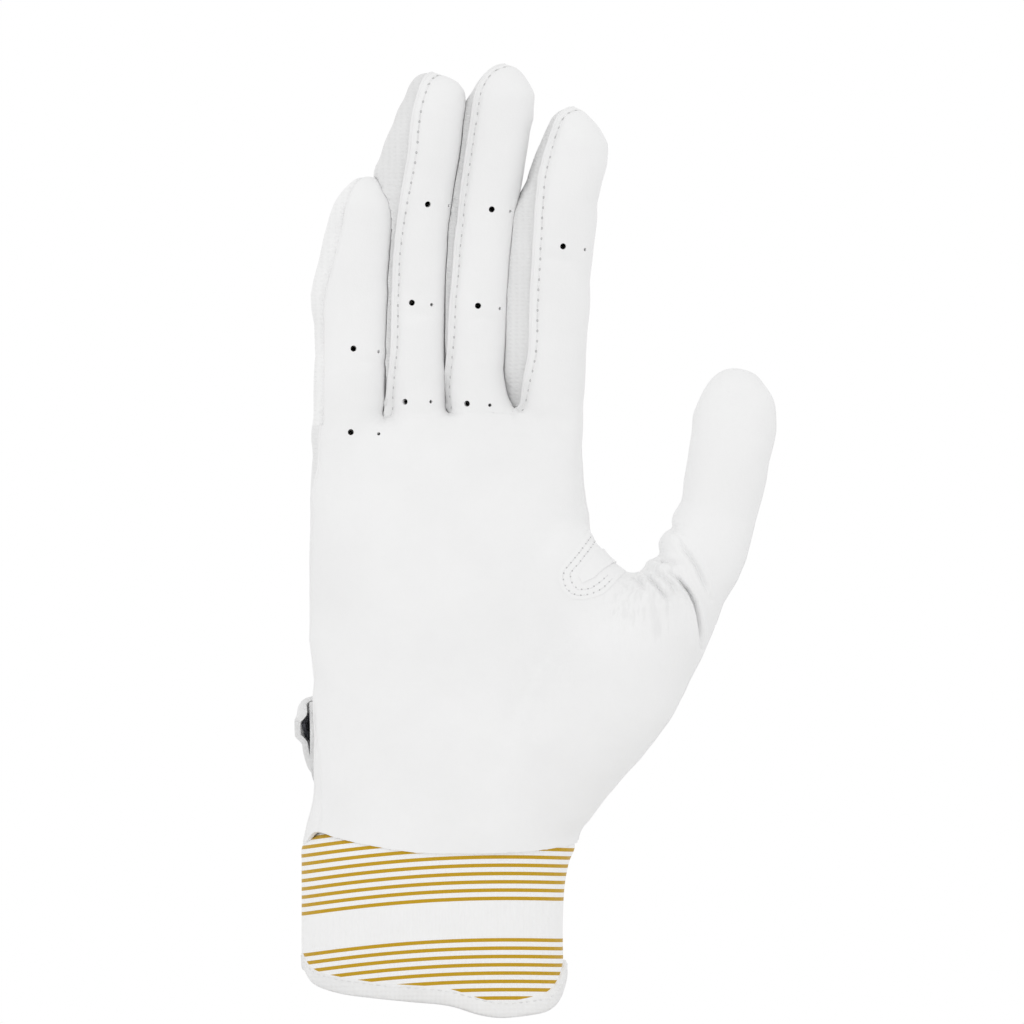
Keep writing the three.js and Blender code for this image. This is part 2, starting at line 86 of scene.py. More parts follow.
# up, across, wide, deep: shares of the height above the hem and of the half sizes
HAND_SHARES = (
    (-0.1, 0.01, 1.045, 1.54),
    (0.09, 0.09, 0.978, 1.42),
    (0.22, 0.095, 0.985, 1.27),
    (0.45, 0.1, 1.005, 1.1),
    (0.7, 0.09, 1, 1),
    (0.89, 0.09, 0.985, 0.86),
    (0.99, 0.09, 0.955, 0.68),
    (1.01, 0.09, 0.91, 0.5),
)
CUFF_SHARES = (
    (-0.3, 0.02, 1.01, 1.02),
    (0.2, -0.018, 1, 1),
    (0.6, -0.018, 1.002, 0.99),
    (0.8, 0, 1.02, 1),
    (0.91, 0.028, 1.042, 1),
    (1, 0.05, 0.975, 0.955),
    (1.14, 0.055, 0.955, 0.935),
)
RIM_SHARES = (
    (-1, 0.85), (-0.93, 0.47), (-0.74, 0.22), (-0.5, 0.1), (-0.2, -0.01), (0.1, -0.12), (0.36, -0.4),
    (0.55, -0.47), (0.8, -0.35), (0.9, -0.14), (0.965, 0.25), (1, 0.75),
)
# across and up: the lower edge of the leather, in shares of the hand's half width and of the hem's height
HEM_SHARES = (
    (-1.05, 0.97), (-0.96, 0.99), (-0.87, 1.07), (-0.72, 1.035), (-0.49, 0.99), (-0.14, 0.944), (0.18, 0.937),
    (0.5, 0.939), (0.83, 0.963), (1.1, 1.01),
)

THUMB_HALF_WIDTH = 11.2
THUMB_HALF_DEPTH = 10.4
THUMB_REACH = 79.8
THUMB_RISE = 164.3
# across, back, up, wide, deep
THUMB_SHARES = (
    (0.125, -0.19, 0.207, 1.45, 1.45),
    (0.432, -0.58, 0.414, 1.5, 1.5),
    (0.62, -0.77, 0.536, 1.54, 1.36),
    (0.792, -0.865, 0.6475, 1.07, 1.14),
    (0.917, -0.865, 0.773, 0.89, 0.92),
    (0.976, -0.77, 0.901, 0.95, 0.93),
    (1, -0.67, 1, 0, 0),
)
THUMB_TILT = 35
THUMB_FOLD = Vector((0.777 * THUMB_REACH, -0.865 * THUMB_HALF_DEPTH, 0.654 * THUMB_RISE))

WEB_REACH = 61
WEB_RISE = 96
WEB_HALF_HEIGHT = 25
WEB_HALF_DEPTH = 11
# across, back, up, tall, deep
WEB_SHARES = (
    (0.393, -0.18, 1.01, 1.12, 1.15),
    (0.557, -0.36, 1.005, 1.12, 1.12),
    (0.648, -0.5, 1, 1.04, 1.04),
    (0.73, -0.64, 0.995, 0.83, 0.98),
    (0.82, -0.73, 0.99, 0.68, 0.93),
    (0.918, -0.77, 0.995, 0.63, 0.9),
    (1, -0.82, 1.01, 0.45, 0.8),
)

ROOT_DEPTH = 26
ROOT_SHARE = 0.8
TIP_SHARE = 1.15
MID_RISE = 0.5
END_RISE = 0.86
FINGER_HINGE = 3.4
FINGER_LINE_DEPTH = -1.5


class Finger:
    """One finger's line and sizes, its seams in degrees round it, and what is drawn on it."""

    def __init__(self, name, across, length, wide, deep, lean, bow, curl, roll, drop, mid, end,
                 cut, seam, spread, swell, holes):
        self.name = name
        self.across = across
        self.length = length
        self.wide = wide
        self.deep = deep
        self.lean = lean
        self.bow = bow
        self.curl = curl
        self.roll = roll
        self.drop = drop
        self.mid = mid
        self.end = end
        self.cut = cut
        self.seam = seam
        self.spread = spread
        self.swell = swell
        self.holes = holes

    def centre(self, share):
        rise = max(share, 0)
        return Vector((
            self.across + self.lean * rise ** 2 + self.bow * math.sin(math.pi * rise) * (1 - rise / 2),
            FINGER_LINE_DEPTH + self.curl * rise ** 2,
            ROOT_HEIGHT - self.drop + share * self.length,
        ))

    def size(self, share):
        middle = mix(1, self.mid, smooth_step(share, 0, MID_RISE))
        return mix(middle, self.end, smooth_step(share, MID_RISE, END_RISE))

    def share_at(self, height):
        return (height - ROOT_HEIGHT + self.drop) / self.length

    @property
    def tip_start(self):
        return 1 - TIP_SHARE * self.wide * self.end / self.length

    @property
    def hinge(self):
        return ROOT_HEIGHT - self.drop + FINGER_HINGE


# across and up: the air holes in pairs, first the round one and then the narrow one by the finger's edge
LITTLE_HOLES = (((-21.1, 169.3), (-14.6, 168.5)), ((-21.8, 147.6), (-14.6, 147.2)))
RING_HOLES = (((-1.8, 206.7), (3.6, 206.4)), ((-6, 181.2), (-0.8, 180.7)), ((-7.8, 155.5), (-1, 155.5)))
MIDDLE_HOLES = (((14.8, 205.4), (19.6, 204.9)), ((11.2, 180.4), (16.9, 179.7)), ((8.3, 155), (14.3, 154.6)))
INDEX_HOLES = (((33.3, 195.8), (39, 195)),)

# across and up: folds pressed into the leather, each with its depth and half width
THUMB_FOLDS = (
    (1.9, 0.42, ((60.6, 111.2), (63.4, 109.3), (66, 106.1), (67.5, 103.2), (68.3, 100.3), (68.8, 97.1),
                 (69.1, 94.2), (69.2, 91.3))),
    (1.1, 0.6, ((61.7, 122.3), (64.3, 117.4), (66.3, 115.1), (67.8, 112.8), (69.2, 109.9), (70.4, 107.3),
                (71.8, 104.1))),
    (1.1, 0.5, ((53.3, 111.2), (56.4, 109), (58.8, 106.1), (60.5, 103.5))),
    (0.7, 0.6, ((51.2, 111), (53, 108.7), (54.7, 106.1))),
    (0.8, 0.6, ((54.7, 111.7), (59, 110.4), (61.4, 107.8), (63.4, 104.6))),
    (0.9, 0.6, ((56.8, 114.6), (60.5, 114.2), (63.4, 113.3))),
    (0.4, 0.6, ((60.5, 122.6), (63, 122), (65, 119.8))),
)
# across and up: the seam of the palm where it shows beside the strap
SIDE_FOLDS = (
    (0.7, 0.5, ((-32.2, 79.5), (-31.7, 71), (-30.8, 64.5), (-30.4, 57.2), (-30.2, 52), (-30.1, 47.3),
                (-30.8, 43.5))),
)
FINGER_FOLDS = (
    (0.3, 1.2, ((29, 192.4), (33, 192.8), (38, 191.4))),
    (0.22, 1.2, ((9, 176.6), (13, 177.2), (18, 176.3))),
    (0.22, 1.2, ((-9, 177.8), (-5, 178.3), (0, 177.5))),
    (0.2, 1.2, ((-24, 165.8), (-19, 166.2), (-14, 165.3))),
    (0.25, 1.6, ((-10, 151.2), (-4, 152.2), (3, 151.4))),
    (0.25, 1.6, ((6, 150.8), (12, 151.9), (19, 150.6))),
    (0.3, 1.6, ((22, 150.2), (30, 151.5), (38, 149.4))),
)
# from and to, across and up: where the skin is cut finer to hold its folds
FINE_PARTS = ((44, 76, 88, 127), (-37, -26, 42, 81))
FINE_GAP = 1.3
# A fold fades at its ends, has a rim beside it, and reaches only the leather that faces the palm.
FOLD_REACH = 25
FOLD_END_SHARES = (0.06, 0.94)
FOLD_FADE = 1.4
FOLD_RIM = 0.3
FOLD_RIM_AWAY = 2.4
FOLD_RIM_WIDE = 1.4
FOLD_FACING = (-0.1, 0.35)
FOLD_TURNED = 0.2

# up, across and aside: edges that are drawn aside, where they run and how far they go
THUMB_INNER = (
    (106, 50, 0), (109, 50.4, 0.9), (111, 50.9, 1.6), (112.8, 51.4, 1.6), (114.3, 52, 1.1),
    (114.8, 52.3, 2.9), (115.4, 52.8, 3.6), (116.4, 53.4, 3.2), (117.5, 54.1, 1.8), (119.1, 55.2, 0.5),
    (120.6, 56.5, 0.3), (121.6, 57.3, 0.7), (122.3, 57.8, 1.6), (123, 58.3, 2), (124, 59.6, 0.9),
    (126, 61.4, 0.1), (130, 63.4, 0.5), (135, 65.3, -0.5), (140, 66.3, -0.5), (148, 67, -0.3),
    (152, 68, -0.8), (156, 68.9, -0.3), (160, 70.7, 0),
)
THUMB_OUTER = (
    (103, 76, 0), (109.2, 77.5, 1.3), (114.4, 79.3, 1.6), (119.6, 81.1, 1), (124.8, 83, 0.5),
    (135, 85.8, 0.3), (140, 87.4, -0.3), (148, 88.7, 0), (152, 88.9, -0.3), (156, 88.7, -0.5),
    (160, 87.4, -1.6), (164, 82.9, -1.3), (166, 80, -1),
)
PALM_INNER = (
    (107, 50, 0), (110, 50, -0.2), (112.4, 50.5, -0.5), (113.6, 48.9, -0.8), (115.2, 47.3, -0.9),
    (117, 45.2, -0.4), (119, 43.4, -0.6), (120.6, 41.6, 0.3), (122.4, 39.5, 1.2), (126, 39, 1.3),
    (129, 39, 0.7), (135, 39, 0),
)
PALM_RIGHT = (
    (36, 36.4, -0.9), (41.1, 37.5, -0.8), (42.9, 38.1, -0.6), (45, 39.1, 0), (46.8, 39.6, 0.5),
    (51, 43.2, 0.5), (57.2, 47.3, 0.8), (62.4, 51.5, 1.5), (67.6, 55.9, 1.3), (72.8, 59.8, 1),
    (78, 63.4, 0.3), (83.2, 66.3, 0), (88.4, 68.4, 0.5), (93.6, 70.8, 0.5), (98.8, 73, 0.3),
    (104, 75.4, 0),
)
PALM_LEFT = (
    (38, -34.4, -0.2), (41.6, -33.8, -0.5), (46.8, -32.8, -0.5), (52, -31.7, 0), (78, -32, 0),
    (83.2, -32, 0.5), (88.4, -32, 0), (93.6, -32.2, -0.5), (100, -32.3, -0.3), (125, -32.1, -0.3),
    (130, -32, -0.5), (141, -31.5, -0.5), (145.6, -31.5, -0.8), (150, -31.4, -0.4), (155, -31.7, 0),
)
# each edge with how far it is drawn into the leather, and the side of it where the leather lies
DRAWN_EDGES = (
    (THUMB_INNER, 10, 1),
    (THUMB_OUTER, 8, -1),
    (PALM_INNER, 7, -1),
    (PALM_RIGHT, 10, -1),
    (PALM_LEFT, 10, 1),
)
EDGE_FADE = 1.4
# across, up and down: the bottom of the crotch, and how far it drops
CROTCH = (51.4, 110, 1)
CROTCH_WIDTH = 3
CROTCH_RISE = 7
CROTCH_TOP = (4, 9)

# up, left and right: how far the edges of each finger stand aside from its plain form
TRIMS = {
    "little": (
        (150, 0, 0), (155, 0.2, 0.9), (163.8, 0.5, 1.3), (167.7, 0.8, 1.4), (175.5, 0.25, 1.5),
        (179.4, -0.8, 1.5), (183.3, -1.3, 1.4), (187.2, -1, 1.2), (193, -0.3, 1.4), (200, 0.1, 1.8),
        (204, 0.5, 1.6), (208, 1.3, 0.7), (212, 2.2, 0), (215, 1.5, 0),
    ),
    "ring": (
        (215, 0, 0), (219, 0.4, 0), (223, 0, 0), (228.3, 0.25, 0), (231, 0.8, 0.2), (234, 1.8, 0.5),
        (236, 1.6, 0.8), (238.7, 0.5, 0.5), (241, -1, -1),
    ),
    "middle": (
        (152.6, -0.3, 0.5), (155, -1, 1), (157.5, -1.3, 0.1), (161, -1.3, -0.5), (164, -1.3, -0.7),
        (170, -1.2, 0.2), (178, -0.9, 0.5), (190, -0.3, 0.8), (208, 0, 0.9), (215, 0, 1.2),
        (226, 0, 1.2), (229, 0, 1.5), (232, -0.2, 1.1), (235.5, -0.2, 0.8), (237.4, 0, 0),
        (240, 0, -0.8), (243.2, -0.8, -1),
    ),
    "index": (
        (153, 0, 0), (160, 0, 0.5), (171, 0, 1), (180, 0, 1.3), (187, 0, 0.7), (193, 0, 1), (203, 0, 1),
        (207, 0, 0.5), (212, 0, 1), (214.2, -0.2, 1.3), (217.4, 0.4, 1.7), (220.5, 1, 1.4),
        (222.6, 1.6, 1), (224.6, 1.8, 0), (227, 1.6, -1), (229.6, 0.8, -2.3), (232.2, 0.3, -2.5),
    ),
}

# The swell of a knit side is the height where it starts, how much it gains for each millimetre below,
# and how far above its cut the seam stays at the side, where the knit closes up on the next finger.
# With nought it lies back.
FINGERS = (
    Finger("little", -22.6, 67.7, 8.8, 8.4, 3.9, -1.2, -3.4, 14, 4.6, 1, 0.88,
           149.4, (153, 138), -2, None, LITTLE_HOLES),
    Finger("ring", -4.8, 90.2, 7.3, 8.6, 4.5, -1, -3.6, 16, 0, 1, 1.22,
           151.2, (158, 130), -0.7, (228, 0.34, 2), RING_HOLES),
    Finger("middle", 11.7, 92.2, 7.3, 8.9, 6.9, -1.7, -3.8, 8, 0, 1.02, 1.06,
           152.6, (155, 154), 0.7, (236, 0.4, 2), MIDDLE_HOLES),
    Finger("index", 30.2, 81, 8.2, 9, 6.3, -1.2, -3.8, 18, 0, 1.07, 1.08,
           152.6, (143, 152), 2, (213.5, 0.45, 0), INDEX_HOLES),
)
SWELL_MOST = 4.2
SWELL_FADE = (228, 262)
SWELL_START = (1, 15)
SWELL_EARLY = 10
SWELL_RISE = (-0.3, 0.8)
SWELL_LEAST = 0.02
SWOLLEN_LEAST = 0.1
SWELL_ROUNDS = (6, 2, 0)
ROOT_SAG = 3
ROOT_SAG_FADE = (-2, 3)
# Above the root, the seam of a finger comes round from its side over this height.
ROOT_SEAM = 178
SEAM_RUN = 18
WRAP_START = -38
SIDE_END = 206
SEAM_TURN_SHARES = (0.45, 0.8)
KNIT_SUNK = 0.6
PALM_SIDE = -60


def mix(a, b, t):
    return a + (b - a) * t


def smooth_step(x, low, high):
    t = min(max((x - low) / (high - low), 0), 1)
    return t * t * (3 - 2 * t)


def smooth_steps(x, low, high):
    t = np.clip((x - low) / (high - low), 0, 1)
    return t * t * (3 - 2 * t)


def catmull(rows, t):
    """A row of numbers at share t along a list of rows, on one smooth curve."""
    span = min(max(t, 0), 1) * (len(rows) - 1)
    i = min(int(span), len(rows) - 2)
    u = span - i
    p0, p1, p2, p3 = (rows[min(max(k, 0), len(rows) - 1)] for k in (i - 1, i, i + 1, i + 2))
    return [
        0.5 * (2 * b + (c - a) * u + (2 * a - 5 * b + 4 * c - d) * u * u + (3 * b - a - 3 * c + d) * u ** 3)
        for a, b, c, d in zip(p0, p1, p2, p3)
    ]


def section(turn, wide, deep):
    c, s = math.cos(turn), math.sin(turn)
    power = 2 / BOXINESS
    return math.copysign(abs(c) ** power, c) * wide, math.copysign(abs(s) ** power, s) * deep


def turned(x, y, degrees):
    a = math.radians(degrees)
    return Vector((x * math.cos(a) - y * math.sin(a), x * math.sin(a) + y * math.cos(a), 0))


# Each station function gives a centre, a side and a front direction and two half sizes.
def hand_station(t):
    up, across, wide, deep = catmull(HAND_SHARES, t)
    tilt = math.atan(ROOT_SLOPE) * smooth_step(up, 0.6, 1)
    height = ROOT_HEIGHT - HEM_HEIGHT
    return (
        Vector((across * HAND_HALF_WIDTH, 0, HEM_HEIGHT + up * height)),
        Vector((math.cos(tilt), 0, math.sin(tilt))), Vector((0, -1, 0)),
        wide * HAND_HALF_WIDTH, deep * HAND_HALF_DEPTH,
    )


def cuff_station(t, grow=0):
    up, across, wide, deep = catmull(CUFF_SHARES, t)
    return (
        Vector((across * CUFF_HALF_WIDTH, 0, up * CUFF_HEIGHT)), Vector((1, 0, 0)), Vector((0, -1, 0)),
        wide * CUFF_HALF_WIDTH + grow, deep * CUFF_HALF_DEPTH + grow,
    )


CUFF_STEPS = 200
TABLE_STEPS = 120
# How far along the cuff's stations each share of its height is reached
CUFF_RISE = (
    [catmull(CUFF_SHARES, k / CUFF_STEPS)[0] for k in range(CUFF_STEPS + 1)],
    [k / CUFF_STEPS for k in range(CUFF_STEPS + 1)],
)


def web_station(t):
    across, back, up, tall, deep = catmull(WEB_SHARES, t)
    return (
        Vector((across * WEB_REACH, back * WEB_HALF_DEPTH, up * WEB_RISE)),
        Vector((0, 0, -1)),
        Vector((0, -1, 0)),
        WEB_HALF_HEIGHT * tall,
        WEB_HALF_DEPTH * deep,
    )


def thumb_point(t):
    across, back, up, _, _ = catmull(THUMB_SHARES, t)
    return Vector((across * THUMB_REACH, back * THUMB_HALF_DEPTH, up * THUMB_RISE))


def thumb_station(t):
    spans = len(THUMB_SHARES) - 1
    body_end = (spans - 1) / spans
    along = (thumb_point(min(t + 0.01, 1)) - thumb_point(t - 0.01)).normalized()
    front = (Vector((0, -1, 0)) + along * along.y).normalized()
    if t <= body_end:
        _, _, _, wide, deep = catmull(THUMB_SHARES[:-1], t / body_end)
    else:
        turn = math.asin(min((t - body_end) * spans, 1))
        wide, deep = (THUMB_SHARES[-2][k] * math.cos(turn) for k in (3, 4))
    return thumb_point(t), along.cross(front), front, wide * THUMB_HALF_WIDTH, deep * THUMB_HALF_DEPTH


def finger_station(finger):
    def station(t):
        share = mix(-ROOT_DEPTH / finger.length, 1, 1 - (1 - t) ** 1.6)
        start = finger.tip_start
        if share > start:
            turn = math.asin(min((share - start) / (1 - start), 1))
            size = finger.size(start) * math.cos(turn)
        elif share < 0:
            size = mix(ROOT_SHARE, 1, 1 + share * finger.length / ROOT_DEPTH)
        else:
            size = finger.size(share)
        return (
            finger.centre(share), turned(1, 0, finger.roll), turned(0, -1, finger.roll),
            finger.wide * size, finger.deep * size,
        )
    return station


def smooth_table(rows):
    """Two columns of a table, filled in along one smooth curve."""
    made = [catmull(rows, k / TABLE_STEPS) for k in range(TABLE_STEPS + 1)]
    return [a for a, _ in made], [b for _, b in made]


HEM_LINE = smooth_table(HEM_SHARES)
RIM_LINE = smooth_table(RIM_SHARES)


def hem_at(x):
    return HEM_HEIGHT * np.interp(np.asarray(x) / HAND_HALF_WIDTH, *HEM_LINE)


def rim_at(x):
    return CUFF_DROP * float(np.interp(x / CUFF_HALF_WIDTH, *RIM_LINE))


# What the sidebar holds: the sizes of the sewing and the colours

def linear(colour):
    """An sRGB hex colour as Blender's linear numbers."""
    values = [int(colour[i:i + 2], 16) / 255 for i in (1, 3, 5)]
    return tuple(v / 12.92 if v <= 0.04045 else ((v + 0.055) / 1.055) ** 2.4 for v in values)


def length(name, millimetres, description):
    return bpy.props.FloatProperty(
        name=name, description=description, default=millimetres * MM, min=0.0, precision=5,
        subtype="DISTANCE", unit="LENGTH",
    )


def dye(name, colour, description):
    return bpy.props.FloatVectorProperty(
        name=name, description=description, default=linear(colour), size=3, min=0.0, max=1.0, subtype="COLOR",
    )


class GLOVE_PG_sizes(bpy.types.PropertyGroup):
    """The sizes of the materials and of the sewing"""
    voxel: length("Skin detail", 0.75, "Size of the voxels that the skin of the glove is formed with")
    ripple: length("Ripple", 0.7, "How far the leather swells and sinks over the hand")
    leather: length("Leather", 1, "Thickness of the leather and of the knit")
    lip: length("Lip", 0.46, "Radius of the rolled edge of the leather on a finger")
    inset: length("Stitch inset", 2.1, "How far the stitches run inside the edge of the leather")
    groove: length("Groove", 0.42, "How far the stitches draw the leather in")
    stitch: length("Stitch length", 1.9, "Length of one stitch")
    thread: length("Thread", 0.62, "Width of the sewing thread")
    pitch: length("Stitch pitch", 2.65, "From one stitch to the next")
    needle: length("Needle hole", 0.42, "Radius of the dip where the thread goes through the leather")
    air_hole: length("Air hole", 0.8, "Radius of the round air holes")
    edge_hole: length("Narrow air hole", 0.45, "Radius of the air holes by the edges of the fingers")
    clearance: length("Clearance", 0.08, "What the knit sides leave between them and the next finger")
    stripe: length("Stripe pitch", 2.15, "From one stripe of the cuff to the next")


class GLOVE_PG_colours(bpy.types.PropertyGroup):
    """The colours of the materials"""
    leather: dye("Leather", "#f4f4f4", "Colour of the leather")
    knit: dye("Knit", "#eeeeee", "Colour of the stretch knit")
    cuff: dye("Cuff knit", "#f8f8f8", "Ground colour of the cuff")
    thread: dye("Thread", "#f4f4f4", "Colour of the sewing thread")
    # Painted shade: the grey of the beads that stand for the shade in the needle holes between the stitches.
    dip: dye("Needle holes", "#cccccc", "Grey painted on the beads that stand for the shade in the needle holes")
    stripe: dye("Stripes", "#c39a0a", "Colour of the stripes on the cuff")
    tape: dye("Tape", "#f4f4f4", "Colour of the binding tape")
    hooks: dye("Hooks", "#62636a", "Colour of the hook patch")
    pile: dye("Loop pile", "#ebebeb", "Colour of the loop patch")


def size(name):
    """One of the sidebar's sizes, in millimetres."""
    return getattr(bpy.context.scene.glove_sizes, name) / MM


def colour(name, shade=1.0):
    """One of the sidebar's colours, made darker by a share."""
    return (*(v * shade for v in getattr(bpy.context.scene.glove_colours, name)), 1.0)


# Modelling by hand: what every piece is made with

def deselect():
    if bpy.context.object and bpy.context.object.mode != "OBJECT":
        bpy.ops.object.mode_set(mode="OBJECT")
    bpy.ops.object.select_all(action="DESELECT")


def only(piece):
    deselect()
    piece.select_set(True)
    bpy.context.view_layer.objects.active = piece


def edit(piece):
    only(piece)
    bpy.ops.object.mode_set(mode="EDIT")
    bpy.ops.mesh.select_all(action="SELECT")


def finish_edit():
    bpy.ops.object.mode_set(mode="OBJECT")


def merge_corners():
    """In edit mode, joins the corners that lie on each other."""
    bpy.ops.mesh.remove_doubles(threshold=MERGE_GAP * MM)


def face_outwards(piece, along=(1, 1, 1)):
    """Turns the faces of a sheet outwards where they point at the origin, seen along the given axes."""
    face = piece.data.polygons[0]
    if face.normal.dot(face.center * Vector(along)) < 0:
        edit(piece)
        bpy.ops.mesh.flip_normals()
        finish_edit()


def points_of(piece):
    points = np.empty(len(piece.data.vertices) * 3)
    piece.data.vertices.foreach_get("co", points)
    return points.reshape(-1, 3)


def set_points(piece, points):
    piece.data.vertices.foreach_set("co", points.ravel())
    piece.data.update()


def normals_of(piece):
    normals = np.empty(len(piece.data.vertices) * 3)
    piece.data.vertex_normals.foreach_get("vector", normals)
    return normals.reshape(-1, 3)


def sheet(name, across, along, place):
    """A grid whose corners are put where place(u, v) says, in millimetres."""
    deselect()
    bpy.ops.mesh.primitive_grid_add(x_subdivisions=across, y_subdivisions=along, size=1)
    piece = bpy.context.object
    piece.name = piece.data.name = name
    for corner in piece.data.vertices:
        corner.co = place(corner.co.x + 0.5, corner.co.y + 0.5) * MM
    return piece


def tube(name, station, rows, around):
    """A sheet rolled up round a line of stations and closed at its ends."""
    def place(u, v):
        at, side, front, wide, deep = station(v)
        across, out = section(u * 2 * math.pi, wide, deep)
        return at + side * across + front * out
    piece = sheet(name, around, rows, place)
    edit(piece)
    merge_corners()
    bpy.ops.mesh.fill_holes(sides=0)
    bpy.ops.mesh.normals_make_consistent(inside=False)
    finish_edit()
    return piece


def modify(piece, kind, **settings):
    only(piece)
    modifier = piece.modifiers.new(kind.title(), kind)
    for key, value in settings.items():
        setattr(modifier, key, value)
    bpy.ops.object.modifier_apply(modifier=modifier.name)


def join(name, pieces):
    only(pieces[0])
    for piece in pieces[1:]:
        piece.select_set(True)
    bpy.ops.object.join()
    pieces[0].name = pieces[0].data.name = name
    return pieces[0]


def copy_of(piece, name):
    only(piece)
    bpy.ops.object.duplicate()
    made = bpy.context.object
    made.name = made.data.name = name
    return made


def remove(piece):
    bpy.data.objects.remove(piece, do_unlink=True)


def cut(piece, at, normal):
    """Adds an edge line where a plane crosses the piece."""
    edit(piece)
    bpy.ops.mesh.bisect(plane_co=Vector(at) * MM, plane_no=normal)
    finish_edit()


def face_centres(piece):
    centres = np.empty(len(piece.data.polygons) * 3)
    piece.data.polygons.foreach_get("center", centres)
    return centres.reshape(-1, 3) / MM


def pick(piece, wanted):
    """Goes into edit mode with only the wanted faces selected."""
    only(piece)
    bpy.context.tool_settings.mesh_select_mode = (False, False, True)
    for parts in (piece.data.vertices, piece.data.edges):
        parts.foreach_set("select", np.zeros(len(parts), bool))
    piece.data.polygons.foreach_set("select", wanted)
    bpy.ops.object.mode_set(mode="EDIT")


def keep(piece, wanted, name):
    """A copy of a piece with only the wanted faces."""
    made = copy_of(piece, name)
    pick(made, ~wanted)
    bpy.ops.mesh.delete(type="FACE")
    finish_edit()
    return made


def refine(piece, wanted):
    """Cuts the wanted faces in four."""
    pick(piece, wanted)
    bpy.ops.mesh.subdivide(number_cuts=1)
    finish_edit()


def smooth(piece, degrees=50):
    only(piece)
    bpy.ops.object.shade_smooth_by_angle(angle=math.radians(degrees))


def wall(piece, thickness, degrees=50):
    modify(piece, "SOLIDIFY", thickness=thickness * MM, offset=-1, use_rim=True, use_even_offset=False)
    smooth(piece, degrees)


def nearest(surface, point):
    """The point on a surface nearest to a point in millimetres, and the way out there."""
    at, normal, _, _ = surface.find_nearest(Vector(point) * MM)
    return at / MM, normal


def struck(surface, start, direction):
    """Where a ray from inside the glove last leaves a surface, in millimetres."""
    at, normal, _, _ = surface.ray_cast(Vector(start) * MM, Vector(direction))
    return (at / MM, normal) if at else nearest(surface, start)


def surface_of(piece):
    corners = [v.co for v in piece.data.vertices]
    return BVHTree.FromPolygons(corners, [p.vertices for p in piece.data.polygons])


def border_paths(piece, skip):
    """The open edges of a panel as lines of points, without those that lie where skip says."""
    mesh = piece.data
    loops = np.empty(len(mesh.loops), int)
    mesh.loops.foreach_get("edge_index", loops)
    uses = np.bincount(loops, minlength=len(mesh.edges))
    points = points_of(piece) / MM
    joined = {}
    for i in np.flatnonzero(uses == 1):
        a, b = mesh.edges[int(i)].vertices
        if skip((points[a] + points[b]) / 2):
            continue
        joined.setdefault(a, []).append(b)
        joined.setdefault(b, []).append(a)
    paths = []
    while joined:
        start = next((v for v in joined if len(joined[v]) == 1), next(iter(joined)))
        path = [start]
        while joined.get(path[-1]):
            here = path[-1]
            there = joined[here].pop()
            joined[there].remove(here)
            path.append(there)
        joined = {v: ends for v, ends in joined.items() if ends}
        if len(path) > 8:
            paths.append([Vector(points[v]) for v in path])
    return paths


def evenly(path, step):
    """A path smoothed and sampled again at equal steps."""
    for _ in range(6):
        path = [path[0]] + [(a + b * 2 + c) / 4 for a, b, c in zip(path, path[1:], path[2:])] + [path[-1]]
    lengths = [0]
    for a, b in zip(path, path[1:]):
        lengths.append(lengths[-1] + (b - a).length)
    count = max(int(lengths[-1] / step), 2)
    made, k = [], 0
    for i in range(count + 1):
        want = lengths[-1] * i / count
        while k < len(lengths) - 2 and lengths[k + 1] < want:
            k += 1
        span = max(lengths[k + 1] - lengths[k], 1e-6)
        made.append(path[k].lerp(path[k + 1], min(max((want - lengths[k]) / span, 0), 1)))
    return made


def alongs(path):
    ends = [path[0]] + path + [path[-1]]
    return [(c - a).normalized() for a, c in zip(ends, ends[2:])]


def inset(path, surface, distance, towards):
    """A path moved sideways over a surface, to the side where towards says."""
    made = []
    for point, along in zip(path, alongs(path)):
        _, normal = nearest(surface, point)
        side = along.cross(normal).normalized()
        if (towards - point).dot(side) < 0:
            side = -side
        made.append(nearest(surface, point + side * distance)[0])
    return made


def piping(name, paths, surface, radius, sunk, share_at=lambda point: 1):
    """A rolled leather edge along some paths: a round cord sunk into the surface."""
    curve = bpy.data.curves.new(name, "CURVE")
    curve.dimensions = "3D"
    curve.bevel_depth = radius * MM
    curve.bevel_resolution = 3
    curve.use_fill_caps = True
    for path in paths:
        spline = curve.splines.new("POLY")
        spline.points.add(len(path) - 1)
        for spot, point in zip(spline.points, path):
            at, normal = nearest(surface, point)
            spot.co = (*((at - normal * sunk) * MM), 1)
            spot.radius = share_at(point)
    piece = bpy.data.objects.new(name, curve)
    bpy.context.scene.collection.objects.link(piece)
    only(piece)
    bpy.ops.object.convert(target="MESH")
    smooth(piece, 60)
    return piece


STITCH_RISE = 0.2
# How high the stitches stand, and the grey beads of painted needle-hole shade.
SHADE_DOT_RISE = 0.16


def bead(half_length, half_width, rise, sag):
    """A small drawn-out bead of thread, bent down by a share of its rise at both ends."""
    deselect()
    bpy.ops.mesh.primitive_uv_sphere_add(segments=6, ring_count=5, radius=1)
    made = bpy.context.object
    edit(made)
    bpy.ops.transform.rotate(value=math.pi / 2, orient_axis="Y", center_override=(0, 0, 0))
    finish_edit()
    points = points_of(made)
    points[:, 2] -= sag * points[:, 0] ** 2
    set_points(made, points * np.array((half_length, half_width, rise)) * MM)
    return made


def scatter(name, master, row_list, surface):
    """Copies of a bead laid on a surface at each point of some rows, as one piece."""
    copies = []
    for row in row_list:
        for point, along in zip(row, alongs(row)):
            at, normal = nearest(surface, point)
            side = normal.cross(along).normalized()
            along = side.cross(normal)
            made = master.copy()
            made.data = master.data.copy()
            made.data.transform(Matrix((
                (along.x, side.x, normal.x, at.x * MM), (along.y, side.y, normal.y, at.y * MM),
                (along.z, side.z, normal.z, at.z * MM), (0, 0, 0, 1),
            )))
            bpy.context.scene.collection.objects.link(made)
            copies.append(made)
    remove(master)
    made = join(name, copies)
    smooth(made, 80)
    return made


